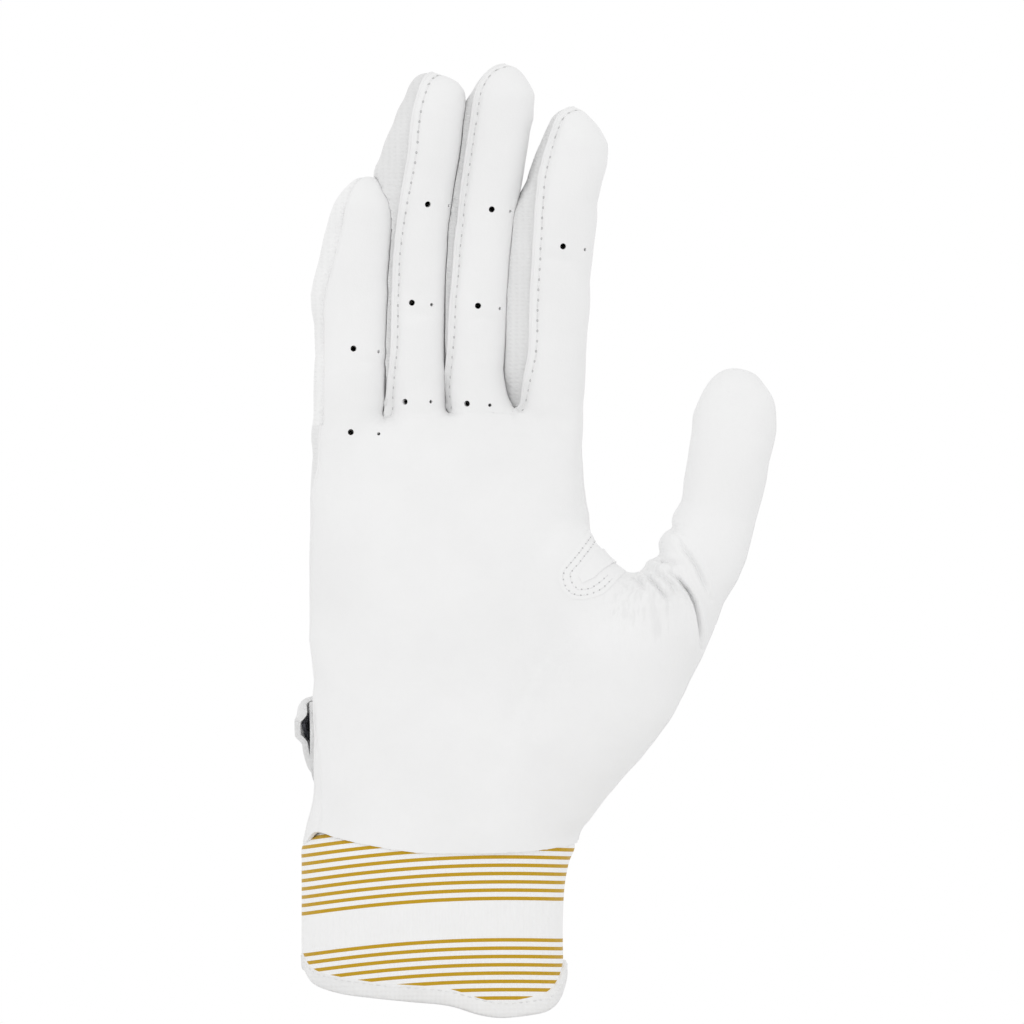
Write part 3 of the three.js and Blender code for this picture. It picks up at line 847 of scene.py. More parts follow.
def sew(name, rows, surface, share=1, with_shade_dots=True):
    """Rows of stitches along some paths: the thread on the leather, and grey beads between the stitches that
    are painted shade where the thread goes down into its needle holes.
    """
    rows = [evenly(row, size("pitch") * share) for row in rows]
    stitch = bead(size("stitch") / 2 * share, size("thread") / 2 * share, STITCH_RISE * share, 0.35)
    thread = scatter(name, stitch, rows, surface)
    dress(thread, finish("thread"))
    if not with_shade_dots:
        return [thread]
    # Grey beads between the stitches: painted shade of the needle holes.
    between = [[(a + b) / 2 for a, b in zip(row, row[1:])] for row in rows]
    dip = bead(size("needle") * share, size("needle") * 0.85 * share, SHADE_DOT_RISE * share, 0)
    shade_dots = scatter(f"{name}_dips", dip, between, surface)
    dress(shade_dots, finish("dip"))
    return [thread, shade_dots]


def press(piece, line, depth, half_width):
    """Draws a surface in along a line."""
    points = points_of(piece) / MM
    line = np.array([tuple(p) for p in line])
    gap = np.full(len(points), 1e9)
    for at in line:
        gap = np.minimum(gap, ((points - at) ** 2).sum(axis=1))
    push = depth * np.exp(-gap / half_width ** 2)
    set_points(piece, (points - normals_of(piece) * push[:, None]) * MM)


# The skin of the glove

RIPPLE_LENGTH = 17
SPREAD_LOW = 147
SPREAD_TOP = 157
THUMB_SIDE = 50
# A finger is ruled out past this share of its length, the sooner the larger the weight.
PAST_TIP_SHARE = 1.03
PAST_TIP_WEIGHT = 9


def spread_of(finger, heights):
    """How far a finger stands aside while the skin is formed, so that the remesh keeps it apart."""
    return finger.spread * smooth_steps(heights, SPREAD_LOW, SPREAD_TOP)


def finger_of(points):
    """The number of the finger of the spread skin that each point belongs to."""
    gaps = []
    for finger in FINGERS:
        rise = np.maximum(finger.share_at(points[:, 2]), 0)
        middle = mix(1, finger.mid, smooth_steps(rise, 0, MID_RISE))
        wide = finger.wide * mix(middle, finger.end, smooth_steps(rise, MID_RISE, END_RISE))
        across, _ = centre_line(finger, points[:, 2])
        off = np.abs(points[:, 0] - across - spread_of(finger, points[:, 2]))
        gaps.append(off / wide + PAST_TIP_WEIGHT * np.maximum(rise - PAST_TIP_SHARE, 0))
    return np.argmin(gaps, axis=0)


def draw_in(piece, finger=None):
    """Moves a finger, or the roots of all four, back from where it stood aside."""
    points = points_of(piece) / MM
    if finger:
        points[:, 0] -= spread_of(finger, points[:, 2])
    else:
        shifts = np.array([spread_of(f, points[:, 2]) for f in FINGERS])
        points[:, 0] -= shifts[finger_of(points), np.arange(len(points))] * (points[:, 0] < THUMB_SIDE)
    set_points(piece, points * MM)


def room_beside(beside, point):
    """How far a point can move left to the finger beside it: less than nothing where it lies inside it."""
    at = Vector(point) * MM
    _, _, _, inside = beside.ray_cast(at, Vector((1, 0, 0)))
    if inside is not None:
        return -inside / MM
    _, _, _, room = beside.ray_cast(at, Vector((-1, 0, 0)))
    return 1e3 if room is None else room / MM


def swell(form, finger, other):
    """Swells the knit side of a finger until it nearly touches the finger beside it."""
    beside = surface_of(other)
    points = points_of(form) / MM
    home = points[:, 0].copy()
    angle = degrees_round(points, finger)
    seam = seam_angle(finger, points[:, 2])
    start, gain, closed = finger.swell
    root = at_side(finger, points[:, 2])
    early = SWELL_EARLY * root * (closed > 0)
    first, full = SWELL_START
    weight = smooth_steps(angle, seam + first - early, seam + full - early)
    weight *= 1 - smooth_steps(angle, *SWELL_FADE)
    want = np.clip(gain * (start - points[:, 2]), 0, SWELL_MOST) * weight
    want *= smooth_steps(points[:, 2], finger.cut + SWELL_RISE[0], finger.cut + SWELL_RISE[1])
    if not closed:
        _, back = centre_line(finger, points[:, 2])
        points[:, 1] += ROOT_SAG * root * weight * smooth_steps(back - points[:, 1], *ROOT_SAG_FADE)
        set_points(form, points * MM)
    group = form.vertex_groups.new(name="swollen")
    for i in np.flatnonzero(weight > SWOLLEN_LEAST):
        group.add([int(i)], float(weight[i]), "REPLACE")
    moved = np.flatnonzero(want > SWELL_LEAST)
    for rounds in SWELL_ROUNDS:
        points = points_of(form) / MM
        step = np.maximum(points[:, 0] - home + want, 0)
        for i in moved:
            room = room_beside(beside, points[i]) - size("clearance")
            points[i, 0] -= min(step[i], room)
        set_points(form, points * MM)
        if rounds:
            modify(form, "SMOOTH", factor=0.5, iterations=rounds, vertex_group="swollen")


def trim(form, finger):
    """Moves the edges of a finger aside, and what lies between them in step."""
    points = points_of(form) / MM
    across, _ = centre_line(finger, points[:, 2])
    ups, left, right = np.array(TRIMS[finger.name]).T
    share = np.clip((points[:, 0] - across) / (2 * finger.wide) + 0.5, 0, 1)
    points[:, 0] += mix(np.interp(points[:, 2], ups, left), np.interp(points[:, 2], ups, right), share)
    set_points(form, points * MM)


# rows along each part of the skin, and corners round it
HAND_GRID = (60, 160)
WEB_GRID = (40, 96)
THUMB_GRID = (90, 96)
FINGER_GRID = (90, 80)
SKIN_ROUNDS = 8
PALM_ROUNDS = 50
PALM_FADE = (150, 158)


def make_skin():
    """One skin over the hand, the web, the thumb and the fingers, smoothed most on the palm."""
    parts = [
        tube("hand", hand_station, *HAND_GRID),
        tube("web", web_station, *WEB_GRID),
        tube("thumb", thumb_station, *THUMB_GRID),
    ]
    for finger in FINGERS:
        part = tube(finger.name, finger_station(finger), *FINGER_GRID)
        points = points_of(part) / MM
        points[:, 0] += spread_of(finger, points[:, 2])
        set_points(part, points * MM)
        parts.append(part)
    skin = join("skin", parts)
    modify(skin, "REMESH", mode="VOXEL", voxel_size=size("voxel") * MM, use_smooth_shade=True)
    palm = skin.vertex_groups.new(name="palm")
    weights = 1 - smooth_steps(points_of(skin)[:, 2] / MM, *PALM_FADE)
    for i in np.flatnonzero(weights > 0):
        palm.add([int(i)], float(weights[i]), "REPLACE")
    modify(skin, "SMOOTH", factor=0.5, iterations=SKIN_ROUNDS)
    modify(skin, "SMOOTH", factor=0.5, iterations=PALM_ROUNDS, vertex_group="palm")
    ripple = bpy.data.textures.new("ripple", "CLOUDS")
    ripple.noise_scale = RIPPLE_LENGTH * MM
    modify(skin, "DISPLACE", texture=ripple, texture_coords="LOCAL", strength=size("ripple") * MM,
           mid_level=0.5)
    sculpt(skin)
    return skin


def gap_to(points, line):
    """Each point's distance from a line of across and up places, and its share along it."""
    line = np.array(line, float)
    best = np.full(len(points), 1e9)
    share = np.zeros(len(points))
    for i, (a, b) in enumerate(zip(line, line[1:])):
        way = b - a
        t = np.clip(((points - a) @ way) / (way @ way), 0, 1)
        gap = np.linalg.norm(points - a - t[:, None] * way, axis=1)
        nearer = gap < best
        best[nearer] = gap[nearer]
        share[nearer] = (i + t[nearer]) / (len(line) - 1)
    return best, share


def draw_aside(points, edge, reach, side):
    """Moves an edge of the skin aside, less and less over a reach into the leather."""
    ups, across, aside = np.array(edge).T
    into = (points[:, 0] - np.interp(points[:, 2], ups, across)) * side
    weight = (1 - smooth_steps(into, 0, reach)) * (1 - smooth_steps(-into, 0, EDGE_FADE))
    points[:, 0] += np.interp(points[:, 2], ups, aside) * weight


def sculpt(skin):
    """Draws the edges of the thumb and its crotch aside, and presses the folds into the skin."""
    points = points_of(skin) / MM
    for edge, reach, side in DRAWN_EDGES:
        draw_aside(points, edge, reach, side)
    across, up, drop = CROTCH
    near = np.exp(-((points[:, 0] - across) / CROTCH_WIDTH) ** 2)
    above = smooth_steps(points[:, 2], up - CROTCH_RISE, up)
    below = 1 - smooth_steps(points[:, 2], up + CROTCH_TOP[0], up + CROTCH_TOP[1])
    points[:, 2] -= drop * near * above * below
    set_points(skin, points * MM)

    centres = face_centres(skin)
    fine = np.zeros(len(centres), bool)
    for left, right, low, top in FINE_PARTS:
        fine |= (
            (centres[:, 0] > left) & (centres[:, 0] < right)
            & (centres[:, 2] > low) & (centres[:, 2] < top)
        )
    refine(skin, fine & (centres[:, 1] < 2))
    centres = face_centres(skin)
    gaps = [gap_to(centres[:, (0, 2)], line)[0] for _, _, line in THUMB_FOLDS + SIDE_FOLDS]
    refine(skin, (np.min(gaps, axis=0) < FINE_GAP) & (centres[:, 1] < 0))

    points = points_of(skin) / MM
    normals = normals_of(skin)
    facing = smooth_steps(-normals[:, 1], *FOLD_FACING)
    push = np.zeros(len(points))
    for depth, width, line in THUMB_FOLDS + SIDE_FOLDS + FINGER_FOLDS:
        middle = np.mean([p[0] for p in line])
        near = (np.abs(points[:, 0] - middle) < FOLD_REACH) & (normals[:, 1] < FOLD_TURNED)
        gap, share = gap_to(points[near][:, (0, 2)], line)
        fade = np.clip(np.sin(np.pi * np.clip(share, *FOLD_END_SHARES)) * FOLD_FADE, 0, 1)
        rim = np.exp(-((gap - FOLD_RIM_AWAY * width) / (FOLD_RIM_WIDE * width)) ** 2)
        pressed = np.exp(-(gap / width) ** 2) - FOLD_RIM * rim
        push[near] -= depth * pressed * fade * facing[near]
    set_points(skin, (points + normals * push[:, None]) * MM)


# The side seam runs at the first depth below the first height and at the second above the second, left of
# the palm. Right of it, it runs at a depth of its own.
SEAM_DEPTHS = (-3.2, -7.6)
SEAM_HEIGHTS = (128, 149)
SEAM_LEFT = (-24, -8)
SEAM_RIGHT = (36, 58)
SEAM_RIGHT_DEPTH = -7


def seam_depth(points):
    """How far back the side seam of the hand runs at each point."""
    low = mix(*SEAM_DEPTHS, smooth_steps(points[:, 2], *SEAM_HEIGHTS))
    left = low * (1 - smooth_steps(points[:, 0], *SEAM_LEFT))
    right = smooth_steps(points[:, 0], *SEAM_RIGHT) * SEAM_RIGHT_DEPTH
    return left + right


# Materials

def node(tree, kind, settings=None, links=None):
    """Adds one node, sets its properties and input values, and links sockets into its inputs."""
    made = tree.nodes.new(kind)
    for key, value in (settings or {}).items():
        if isinstance(key, str) and hasattr(made, key):
            setattr(made, key, value)
        else:
            made.inputs[key].default_value = value
    for key, socket in (links or {}).items():
        tree.links.new(socket, made.inputs[key])
    return made


def finish_of(name, base, roughness, sheen=0.0):
    """A new material with its shader's plain values, its tree and its shader."""
    material = bpy.data.materials.new(name)
    material.use_nodes = True
    tree = material.node_tree
    shader = tree.nodes["Principled BSDF"]
    shader.inputs["Base Color"].default_value = base
    shader.inputs["Roughness"].default_value = roughness
    shader.inputs["Sheen Weight"].default_value = sheen
    return material, tree, shader


MOTTLE_LOW = 0.35
MOTTLE_HIGH = 0.65


def mottled(tree, shader, where, light, dark, patch):
    """Slow change between two colours, over patches of a size in millimetres."""
    clouds = node(tree, "ShaderNodeTexNoise", {"Scale": 1000 / patch, "Detail": 3.0}, {"Vector": where})
    ramp = node(tree, "ShaderNodeValToRGB", links={"Fac": clouds.outputs["Fac"]})
    ramp.color_ramp.elements[0].position = MOTTLE_LOW
    ramp.color_ramp.elements[1].position = MOTTLE_HIGH
    ramp.color_ramp.elements[0].color = dark
    ramp.color_ramp.elements[1].color = light
    tree.links.new(ramp.outputs["Color"], shader.inputs["Base Color"])
    return ramp.outputs["Color"]


def bump(tree, height, depth, strength, below=None):
    """A bump of a depth in millimetres, over another one if that is given."""
    made = node(tree, "ShaderNodeBump", {"Strength": strength, "Distance": depth * MM}, {"Height": height})
    if below:
        tree.links.new(below, made.inputs["Normal"])
    return made.outputs["Normal"]


def goat_leather(name="white goat leather", shade=0.97):
    """Thin dyed goat leather, tumbled soft: a dull white with a fine pebble and a trace of gloss."""
    material, tree, shader = finish_of(name, colour("leather"), 0.55)
    place = node(tree, "ShaderNodeTexCoord").outputs["Object"]
    dyed = mottled(tree, shader, place, colour("leather"), colour("leather", shade), 22)
    # The grain is 0.4 mm in the hide, and is drawn at 0.8 mm so that it shows.
    pebble = node(tree, "ShaderNodeTexVoronoi", {"Scale": 1000 / 0.8, "feature": "DISTANCE_TO_EDGE"},
                  {"Vector": place})
    grain = bump(tree, pebble.outputs["Distance"], 0.05, 0.35)
    # Soft drag lines run up the hand where the hide was stretched, most of all at the ball of the thumb. They
    # are a bump, and painted shade that darkens the colour along them.
    drawn = node(tree, "ShaderNodeMapping", {"Scale": (1.0, 1.0, 0.1), "Rotation": (0.0, 0.25, 0.0)},
                 {"Vector": place})
    lines = node(tree, "ShaderNodeTexNoise", {"Scale": 1000 / 1.1, "Detail": 2.0},
                 {"Vector": drawn.outputs[0]})
    ball = node(tree, "ShaderNodeMapping", {"Location": (-0.056, 0.018, -0.104)}, {"Vector": place})
    reach = node(tree, "ShaderNodeVectorMath", {"operation": "LENGTH"}, {"Vector": ball.outputs[0]})
    near = node(tree, "ShaderNodeMapRange",
                {"From Min": 0.009, "From Max": 0.021, "To Min": 1.0, "To Max": 0.06},
                {"Value": reach.outputs["Value"]})
    height = node(tree, "ShaderNodeMath", {"operation": "MULTIPLY"},
                  {0: lines.outputs["Fac"], 1: near.outputs[0]})
    drag = bump(tree, height.outputs[0], 0.3, 0.6, grain)
    # Painted shade: the colour is darkened by up to 5 % along the drag lines, where they would lie in shade.
    drag_line_shade = node(tree, "ShaderNodeMapRange",
                {"From Min": 0.46, "From Max": 0.64, "To Min": 1.0, "To Max": 0.95},
                {"Value": height.outputs[0]})
    dye_with_painted_shade = node(tree, "ShaderNodeVectorMath", {"operation": "SCALE"}, {0: dyed, "Scale": drag_line_shade.outputs[0]})
    tree.links.new(dye_with_painted_shade.outputs["Vector"], shader.inputs["Base Color"])
    slack = node(tree, "ShaderNodeTexNoise", {"Scale": 1000 / 9, "Detail": 3.0}, {"Vector": place})
    tree.links.new(bump(tree, slack.outputs["Fac"], 0.5, 0.35, drag), shader.inputs["Normal"])
    return material


def stretch_knit(name="white stretch knit", rib=0.9, shade=1.0):
    """Polyester jersey: matt, with fine upright ribs and a soft fuzz at its edges."""
    material, tree, shader = finish_of(name, colour("knit", shade), 0.9, 0.25)
    place = node(tree, "ShaderNodeTexCoord").outputs["Object"]
    mottled(tree, shader, place, colour("knit", shade), colour("knit", shade * 0.96), 14)
    ribs = node(tree, "ShaderNodeTexWave",
                {"Scale": 1000 / rib / math.tau, "bands_direction": "X", "Distortion": 0.6},
                {"Vector": place})
    loops = node(tree, "ShaderNodeTexWave", {"Scale": 1000 / (rib * 0.7) / math.tau, "bands_direction": "Z"},
                 {"Vector": place})
    cells = node(tree, "ShaderNodeMath", {"operation": "MULTIPLY"},
                 {0: ribs.outputs["Fac"], 1: loops.outputs["Fac"]})
    tree.links.new(bump(tree, cells.outputs[0], 0.25, 0.5), shader.inputs["Normal"])
    return material


def bonded_thread(name="bonded thread", which="thread"):
    """Bonded polyester thread: a twist that shows as fine slanting lines."""
    material, tree, shader = finish_of(name, colour(which), 0.5)
    place = node(tree, "ShaderNodeTexCoord").outputs["Object"]
    mottled(tree, shader, place, colour(which), colour(which, 0.85), 3)
    twist = node(tree, "ShaderNodeTexWave", {"Scale": 1000 / 0.45 / math.tau, "bands_direction": "DIAGONAL"},
                 {"Vector": place})
    tree.links.new(bump(tree, twist.outputs["Fac"], 0.08, 0.6), shader.inputs["Normal"])
    return material


def dress(piece, material, slot=None):
    piece.data.materials.clear()
    piece.data.materials.append(material)


FINISHES = {}


def finish(name):
    """A finish by its name, made when it is first wanted."""
    makers = {
        "leather": goat_leather,
        "piping": lambda: goat_leather("cut leather edge", 0.94),
        "patch": lambda: goat_leather("white patch leather", 0.985),
        "knit": stretch_knit,
        # The knit of the finger sides: the same knit painted darker, for the shade between the fingers.
        "side": lambda: stretch_knit("close stretch knit", 0.8, 0.95),
        # The little finger's back: the same knit painted lighter, to take out the shade where it faces
        # sideways.
        "pale": lambda: stretch_knit("pale stretch knit", 0.9, 1.08),
        "thread": bonded_thread,
        # The needle-hole beads: thread painted grey for the shade in the holes.
        "dip": lambda: bonded_thread("bonded thread in its needle holes", "dip"),
        "striped": striped_knit,
        "tape": binding_tape,
        "hook": hook_nylon,
        "pile": loop_pile,
        "webbing": lambda: stretch_knit("white elastic webbing", 1.2),
    }
    if name not in FINISHES:
        FINISHES[name] = makers[name]()
    return FINISHES[name]


STRIPE_SHARE = 0.44
STRIPE_BOW = 1.6
STRIPE_TILT = -0.055
STRIPES_BELOW = 8.0
STRIPES_ABOVE = 12.0


def striped_knit():
    """Fine ribbed cuff knit, dyed white with gold pinstripes in two bands that rise towards the thumb."""
    material, tree, shader = finish_of("striped cuff knit", colour("cuff"), 0.85, 0.15)
    place = node(tree, "ShaderNodeTexCoord").outputs["Object"]
    axes = node(tree, "ShaderNodeSeparateXYZ", links={0: place})
    # The height of a stripe above the wrist falls off with a bow and a tilt across the cuff.
    square = node(tree, "ShaderNodeMath", {"operation": "MULTIPLY"},
                  {0: axes.outputs["X"], 1: axes.outputs["X"]})
    bowed = node(tree, "ShaderNodeMath", {"operation": "MULTIPLY_ADD", 1: STRIPE_BOW},
                 {0: square.outputs[0], 2: axes.outputs["Z"]})
    height = node(tree, "ShaderNodeMath", {"operation": "MULTIPLY_ADD", 1: STRIPE_TILT},
                  {0: axes.outputs["X"], 2: bowed.outputs[0]})
    count = node(tree, "ShaderNodeMath", {"operation": "MULTIPLY", 1: 1000 / size("stripe")},
                 {0: height.outputs[0]})
    part = node(tree, "ShaderNodeMath", {"operation": "FRACT"}, {0: count.outputs[0]})
    line = node(tree, "ShaderNodeMath", {"operation": "LESS_THAN", 1: STRIPE_SHARE}, {0: part.outputs[0]})
    low = node(tree, "ShaderNodeMath", {"operation": "LESS_THAN", 1: STRIPES_BELOW}, {0: count.outputs[0]})
    high = node(tree, "ShaderNodeMath", {"operation": "GREATER_THAN", 1: STRIPES_ABOVE},
                {0: count.outputs[0]})
    bands = node(tree, "ShaderNodeMath", {"operation": "MAXIMUM"}, {0: low.outputs[0], 1: high.outputs[0]})
    drawn = node(tree, "ShaderNodeMath", {"operation": "MULTIPLY"}, {0: line.outputs[0], 1: bands.outputs[0]})
    cloth = node(tree, "ShaderNodeTexNoise", {"Scale": 1000 / 6}, {"Vector": place})
    ground = node(tree, "ShaderNodeMix", {"data_type": "RGBA"}, {0: cloth.outputs["Fac"]})
    ground.inputs[6].default_value = colour("cuff")
    ground.inputs[7].default_value = colour("cuff", 0.97)
    dyed = node(tree, "ShaderNodeMix", {"data_type": "RGBA"}, {0: drawn.outputs[0], 6: ground.outputs[2]})
    dyed.inputs[7].default_value = colour("stripe")
    tree.links.new(dyed.outputs[2], shader.inputs["Base Color"])
    ribs = node(tree, "ShaderNodeTexWave",
                {"Scale": 1000 / 0.85 / math.tau, "bands_direction": "X", "Distortion": 0.5},
                {"Vector": place})
    tree.links.new(bump(tree, ribs.outputs["Fac"], 0.22, 0.45), shader.inputs["Normal"])
    return material


def binding_tape():
    """Woven polyester tape folded over the rim: matt white with a fine cross weave."""
    material, tree, shader = finish_of("white binding tape", colour("tape"), 0.8)
    place = node(tree, "ShaderNodeTexCoord").outputs["Object"]
    mottled(tree, shader, place, colour("tape"), colour("tape", 0.95), 9)
    weft = node(tree, "ShaderNodeTexWave", {"Scale": 1000 / 0.6 / math.tau, "bands_direction": "X"},
                {"Vector": place})
    warp = node(tree, "ShaderNodeTexWave", {"Scale": 1000 / 0.6 / math.tau, "bands_direction": "Z"},
                {"Vector": place})
    weave = node(tree, "ShaderNodeMath", {"operation": "ADD"},
                 {0: weft.outputs["Fac"], 1: warp.outputs["Fac"]})
    tree.links.new(bump(tree, weave.outputs[0], 0.12, 0.4), shader.inputs["Normal"])
    return material


def hook_nylon():
    """Moulded nylon hooks: a dark matt field of small stiff points."""
    material, tree, shader = finish_of("grey hook nylon", colour("hooks"), 0.75)
    place = node(tree, "ShaderNodeTexCoord").outputs["Object"]
    mottled(tree, shader, place, colour("hooks"), colour("hooks", 0.6), 4)
    points = node(tree, "ShaderNodeTexVoronoi", {"Scale": 1000 / 1.2}, {"Vector": place})
    tree.links.new(bump(tree, points.outputs["Distance"], 0.5, 0.8), shader.inputs["Normal"])
    return material


def loop_pile():
    """Brushed nylon loops: a soft pale nap with no direction."""
    material, tree, shader = finish_of("white loop pile", colour("pile"), 0.95, 0.5)
    place = node(tree, "ShaderNodeTexCoord").outputs["Object"]
    mottled(tree, shader, place, colour("pile"), colour("pile", 0.86), 5)
    nap = node(tree, "ShaderNodeTexNoise", {"Scale": 1000 / 0.7, "Detail": 4.0}, {"Vector": place})
    tree.links.new(bump(tree, nap.outputs["Fac"], 0.5, 0.8), shader.inputs["Normal"])
    return material


# Where each piece lies: the lines of the thumb and the fingers, their seams and their air holes

THUMB_AXIS = Vector((math.sin(math.radians(THUMB_TILT)), 0, math.cos(math.radians(THUMB_TILT))))
THUMB_START = -2
THUMB_SEAM = -8.6
BAND_LOW = 123
BAND_TOP = 142
GUSSET = (-15, 5, 79)


def bend_thumb(piece):
    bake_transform(piece)


def bend_finger(piece, finger):
    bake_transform(piece)


def centre_line(finger, heights):
    rise = np.maximum((heights - ROOT_HEIGHT + finger.drop) / finger.length, 0)
    across = finger.across + finger.lean * rise ** 2 + finger.bow * np.sin(np.pi * rise) * (1 - rise / 2)
    return across, FINGER_LINE_DEPTH + finger.curl * rise ** 2


def seam_angle(finger, heights):
    low, top = finger.seam
    turn, turned_up = (finger.centre(share).z for share in SEAM_TURN_SHARES)
    plain = mix(low, top, smooth_steps(heights, turn, turned_up))
    return plain + (ROOT_SEAM - low) * at_side(finger, heights) if finger.swell else plain


def at_side(finger, heights):
    """How far the seam of a finger keeps to its side: 1 at the root and nought above."""
    held = finger.cut + finger.swell[2]
    return 1 - smooth_steps(heights, held, held + SEAM_RUN)


def degrees_round(points, finger):
    """How far round a finger each point is, from its thumb side over its palm side."""
    across, back = centre_line(finger, points[:, 2])
    angle = finger.roll - np.degrees(np.arctan2(points[:, 1] - back, points[:, 0] - across))
    return (angle - WRAP_START) % 360 + WRAP_START


def unroll(piece, finger, angle_at, way):
    """Turns each level of a finger about its centre line so that a seam lies in one plane, or back."""
    points = points_of(piece) / MM
    across, back = centre_line(finger, points[:, 2])
    turn = np.radians(finger.roll - angle_at(points[:, 2])) * way
    x, y = points[:, 0], points[:, 1]
    if way < 0:
        x, y = x - across, y - back
    turned_x = x * np.cos(turn) - y * np.sin(turn)
    turned_y = x * np.sin(turn) + y * np.cos(turn)
    if way > 0:
        turned_x, turned_y = turned_x + across, turned_y + back
    set_points(piece, np.stack((turned_x, turned_y, points[:, 2]), axis=1) * MM)


def warp(piece, axis, amount_at, way):
    """Slides points along an axis so that a curved seam lies in one plane, or back."""
    points = points_of(piece) / MM
    points[:, axis] += way * amount_at(points)
    set_points(piece, points * MM)


def seen_from_palm(surface, across, up):
    """The place on a surface that is seen at a place across and up, and the way out there."""
    at, normal, _, _ = surface.ray_cast(Vector((across, PALM_SIDE, up)) * MM, Vector((0, 1, 0)))
    return at, normal


def pierce(piece, pairs):
    """Cuts the pairs of air holes through the palm side of a panel."""
    pins = []
    shell = surface_of(piece)
    for pair in pairs:
        for (across, up), radius in zip(pair, (size("air_hole"), size("edge_hole"))):
            at, normal = seen_from_palm(shell, across, up)
            if not at:
                continue
            bpy.ops.mesh.primitive_cylinder_add(vertices=20, radius=radius * MM, depth=5 * MM, location=at)
            pin = bpy.context.object
            pin.rotation_euler = normal.to_track_quat("Z", "Y").to_euler()
            pins.append(pin)
    if not pins:
        return
    tool = join("air hole tool", pins)
    modify(piece, "BOOLEAN", operation="DIFFERENCE", object=tool, solver="EXACT")
    remove(tool)


# Operators

class GLOVE_OT_panels(bpy.types.Operator):
    """Forms the skin of the glove and cuts it into the blanks of the hand, the fingers and the thumb"""
    bl_idname = "glove.panels"
    bl_label = "Blanks"

    def execute(self, context):
        skin = make_skin()
        for height in sorted({f.cut for f in FINGERS}):
            cut(skin, (0, 0, height), (0, 0, 1))
        cut(skin, THUMB_FOLD + THUMB_AXIS * THUMB_START, THUMB_AXIS)
        centres = face_centres(skin)
        nearest_finger = finger_of(centres)
        off = (centres - np.array(THUMB_FOLD)) @ np.array(THUMB_AXIS)
        is_thumb = (off > THUMB_START) & (centres[:, 0] > THUMB_SIDE)
        owner = np.zeros(len(centres), int) - 1
        for i, finger in enumerate(FINGERS):
            owner[(centres[:, 2] > finger.cut) & (nearest_finger == i) & ~is_thumb] = i
        draw_in(keep(skin, (owner < 0) & ~is_thumb, "hand blank"))
        keep(skin, is_thumb, "thumb blank")
        for i, finger in enumerate(FINGERS):
            form = keep(skin, owner == i, f"{finger.name} blank")
            draw_in(form, finger)
            trim(form, finger)
        for other, finger in zip(FINGERS, FINGERS[1:]):
            swell(blank(f"{finger.name} blank"), finger, blank(f"{other.name} blank"))
        remove(skin)
        return {"FINISHED"}


def blank(name):
    if name not in bpy.data.objects:
        raise RuntimeError(f"there is no {name}: form the blanks first")
    return bpy.data.objects[name]


class GLOVE_OT_hand(bpy.types.Operator):
    """Sews the palm, the back of the hand, the wrist gusset and the knuckle panels"""
    bl_idname = "glove.hand"
    bl_label = "Hand"

    def execute(self, context):
        hand = blank("hand blank")
        warp(hand, 2, lambda p: hem_at(p[:, 0]), -1)
        cut(hand, (0, 0, 0), (0, 0, 1))
        warp(hand, 2, lambda p: hem_at(p[:, 0]), 1)
        warp(hand, 1, seam_depth, -1)
        cut(hand, (0, 0, 0), (0, 1, 0))
        warp(hand, 1, seam_depth, 1)
        for height in (BAND_LOW, BAND_TOP, GUSSET[2]):
            cut(hand, (0, 0, height), (0, 0, 1))
        for side in GUSSET[:2]:
            cut(hand, (side, 0, 0), (1, 0, 0))
        centres = face_centres(hand)
        x, z = centres[:, 0], centres[:, 2]
        above_hem = z > hem_at(x)
        front = centres[:, 1] < seam_depth(centres)
        window = (x > GUSSET[0]) & (x < GUSSET[1]) & (z < GUSSET[2]) & ~front
        panels = {
            "palm_leather": (above_hem & front, "leather", "palm_panel"),
            "back_leather": (above_hem & ~front & ~window & (z < BAND_LOW), "leather", "back_panel"),
            "wrist_gusset_knit": (above_hem & window, "knit", "wrist_gusset"),
            "knuckle_flex_knit": (~front & (z > BAND_LOW) & (z < BAND_TOP), "knit", "knuckle_flex_panel"),
            "finger_root_knit": (~front & (z > BAND_TOP), "knit", "finger_root_panel"),
        }
        surface = surface_of(hand)
        for name, (wanted, material, cad) in panels.items():
            piece = keep(hand, wanted, name)
            if name == "palm_leather":
                paths = border_paths(piece, off_the_seams)
                self.edges(paths, surface)
            wall(piece, size("leather"))
            if name == "palm_leather":
                pierce(piece, [pair for f in FINGERS for pair in f.holes if pair[0][1] < f.cut])
            dress(piece, finish(material), material)
            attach(piece, "hand")
            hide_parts(cad)
        remove(hand)
        return {"FINISHED"}

    def edges(self, paths, surface):
        """Rolls the edge of the palm leather."""
        paths = [evenly(path, 1) for path in paths]
        lip = piping("palm_leather_edge", paths, surface, 0.42, 0.1)
        dress(lip, finish("piping"), "leather")
        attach(lip, "hand")


def off_the_seams(point):
    """True where a palm border isn't one of the two side seams."""
    at_hem = abs(point[2] - float(hem_at(point[0]))) < 0.4
    at_finger = any(abs(point[2] - f.cut) < 0.2 and abs(point[0] - f.across) < 1.4 * f.wide for f in FINGERS)
    off = (Vector(point) - THUMB_FOLD).dot(THUMB_AXIS)
    return at_hem or at_finger or (abs(off - THUMB_START) < 0.2 and point[0] > 50)


# How far the plain seam of the little finger draws both panels in, and half of its width
LITTLE_SEAM = (1.1, 0.6)
# How much thinner a rolled edge is where the fingers close up
LIP_THINNED = 0.6


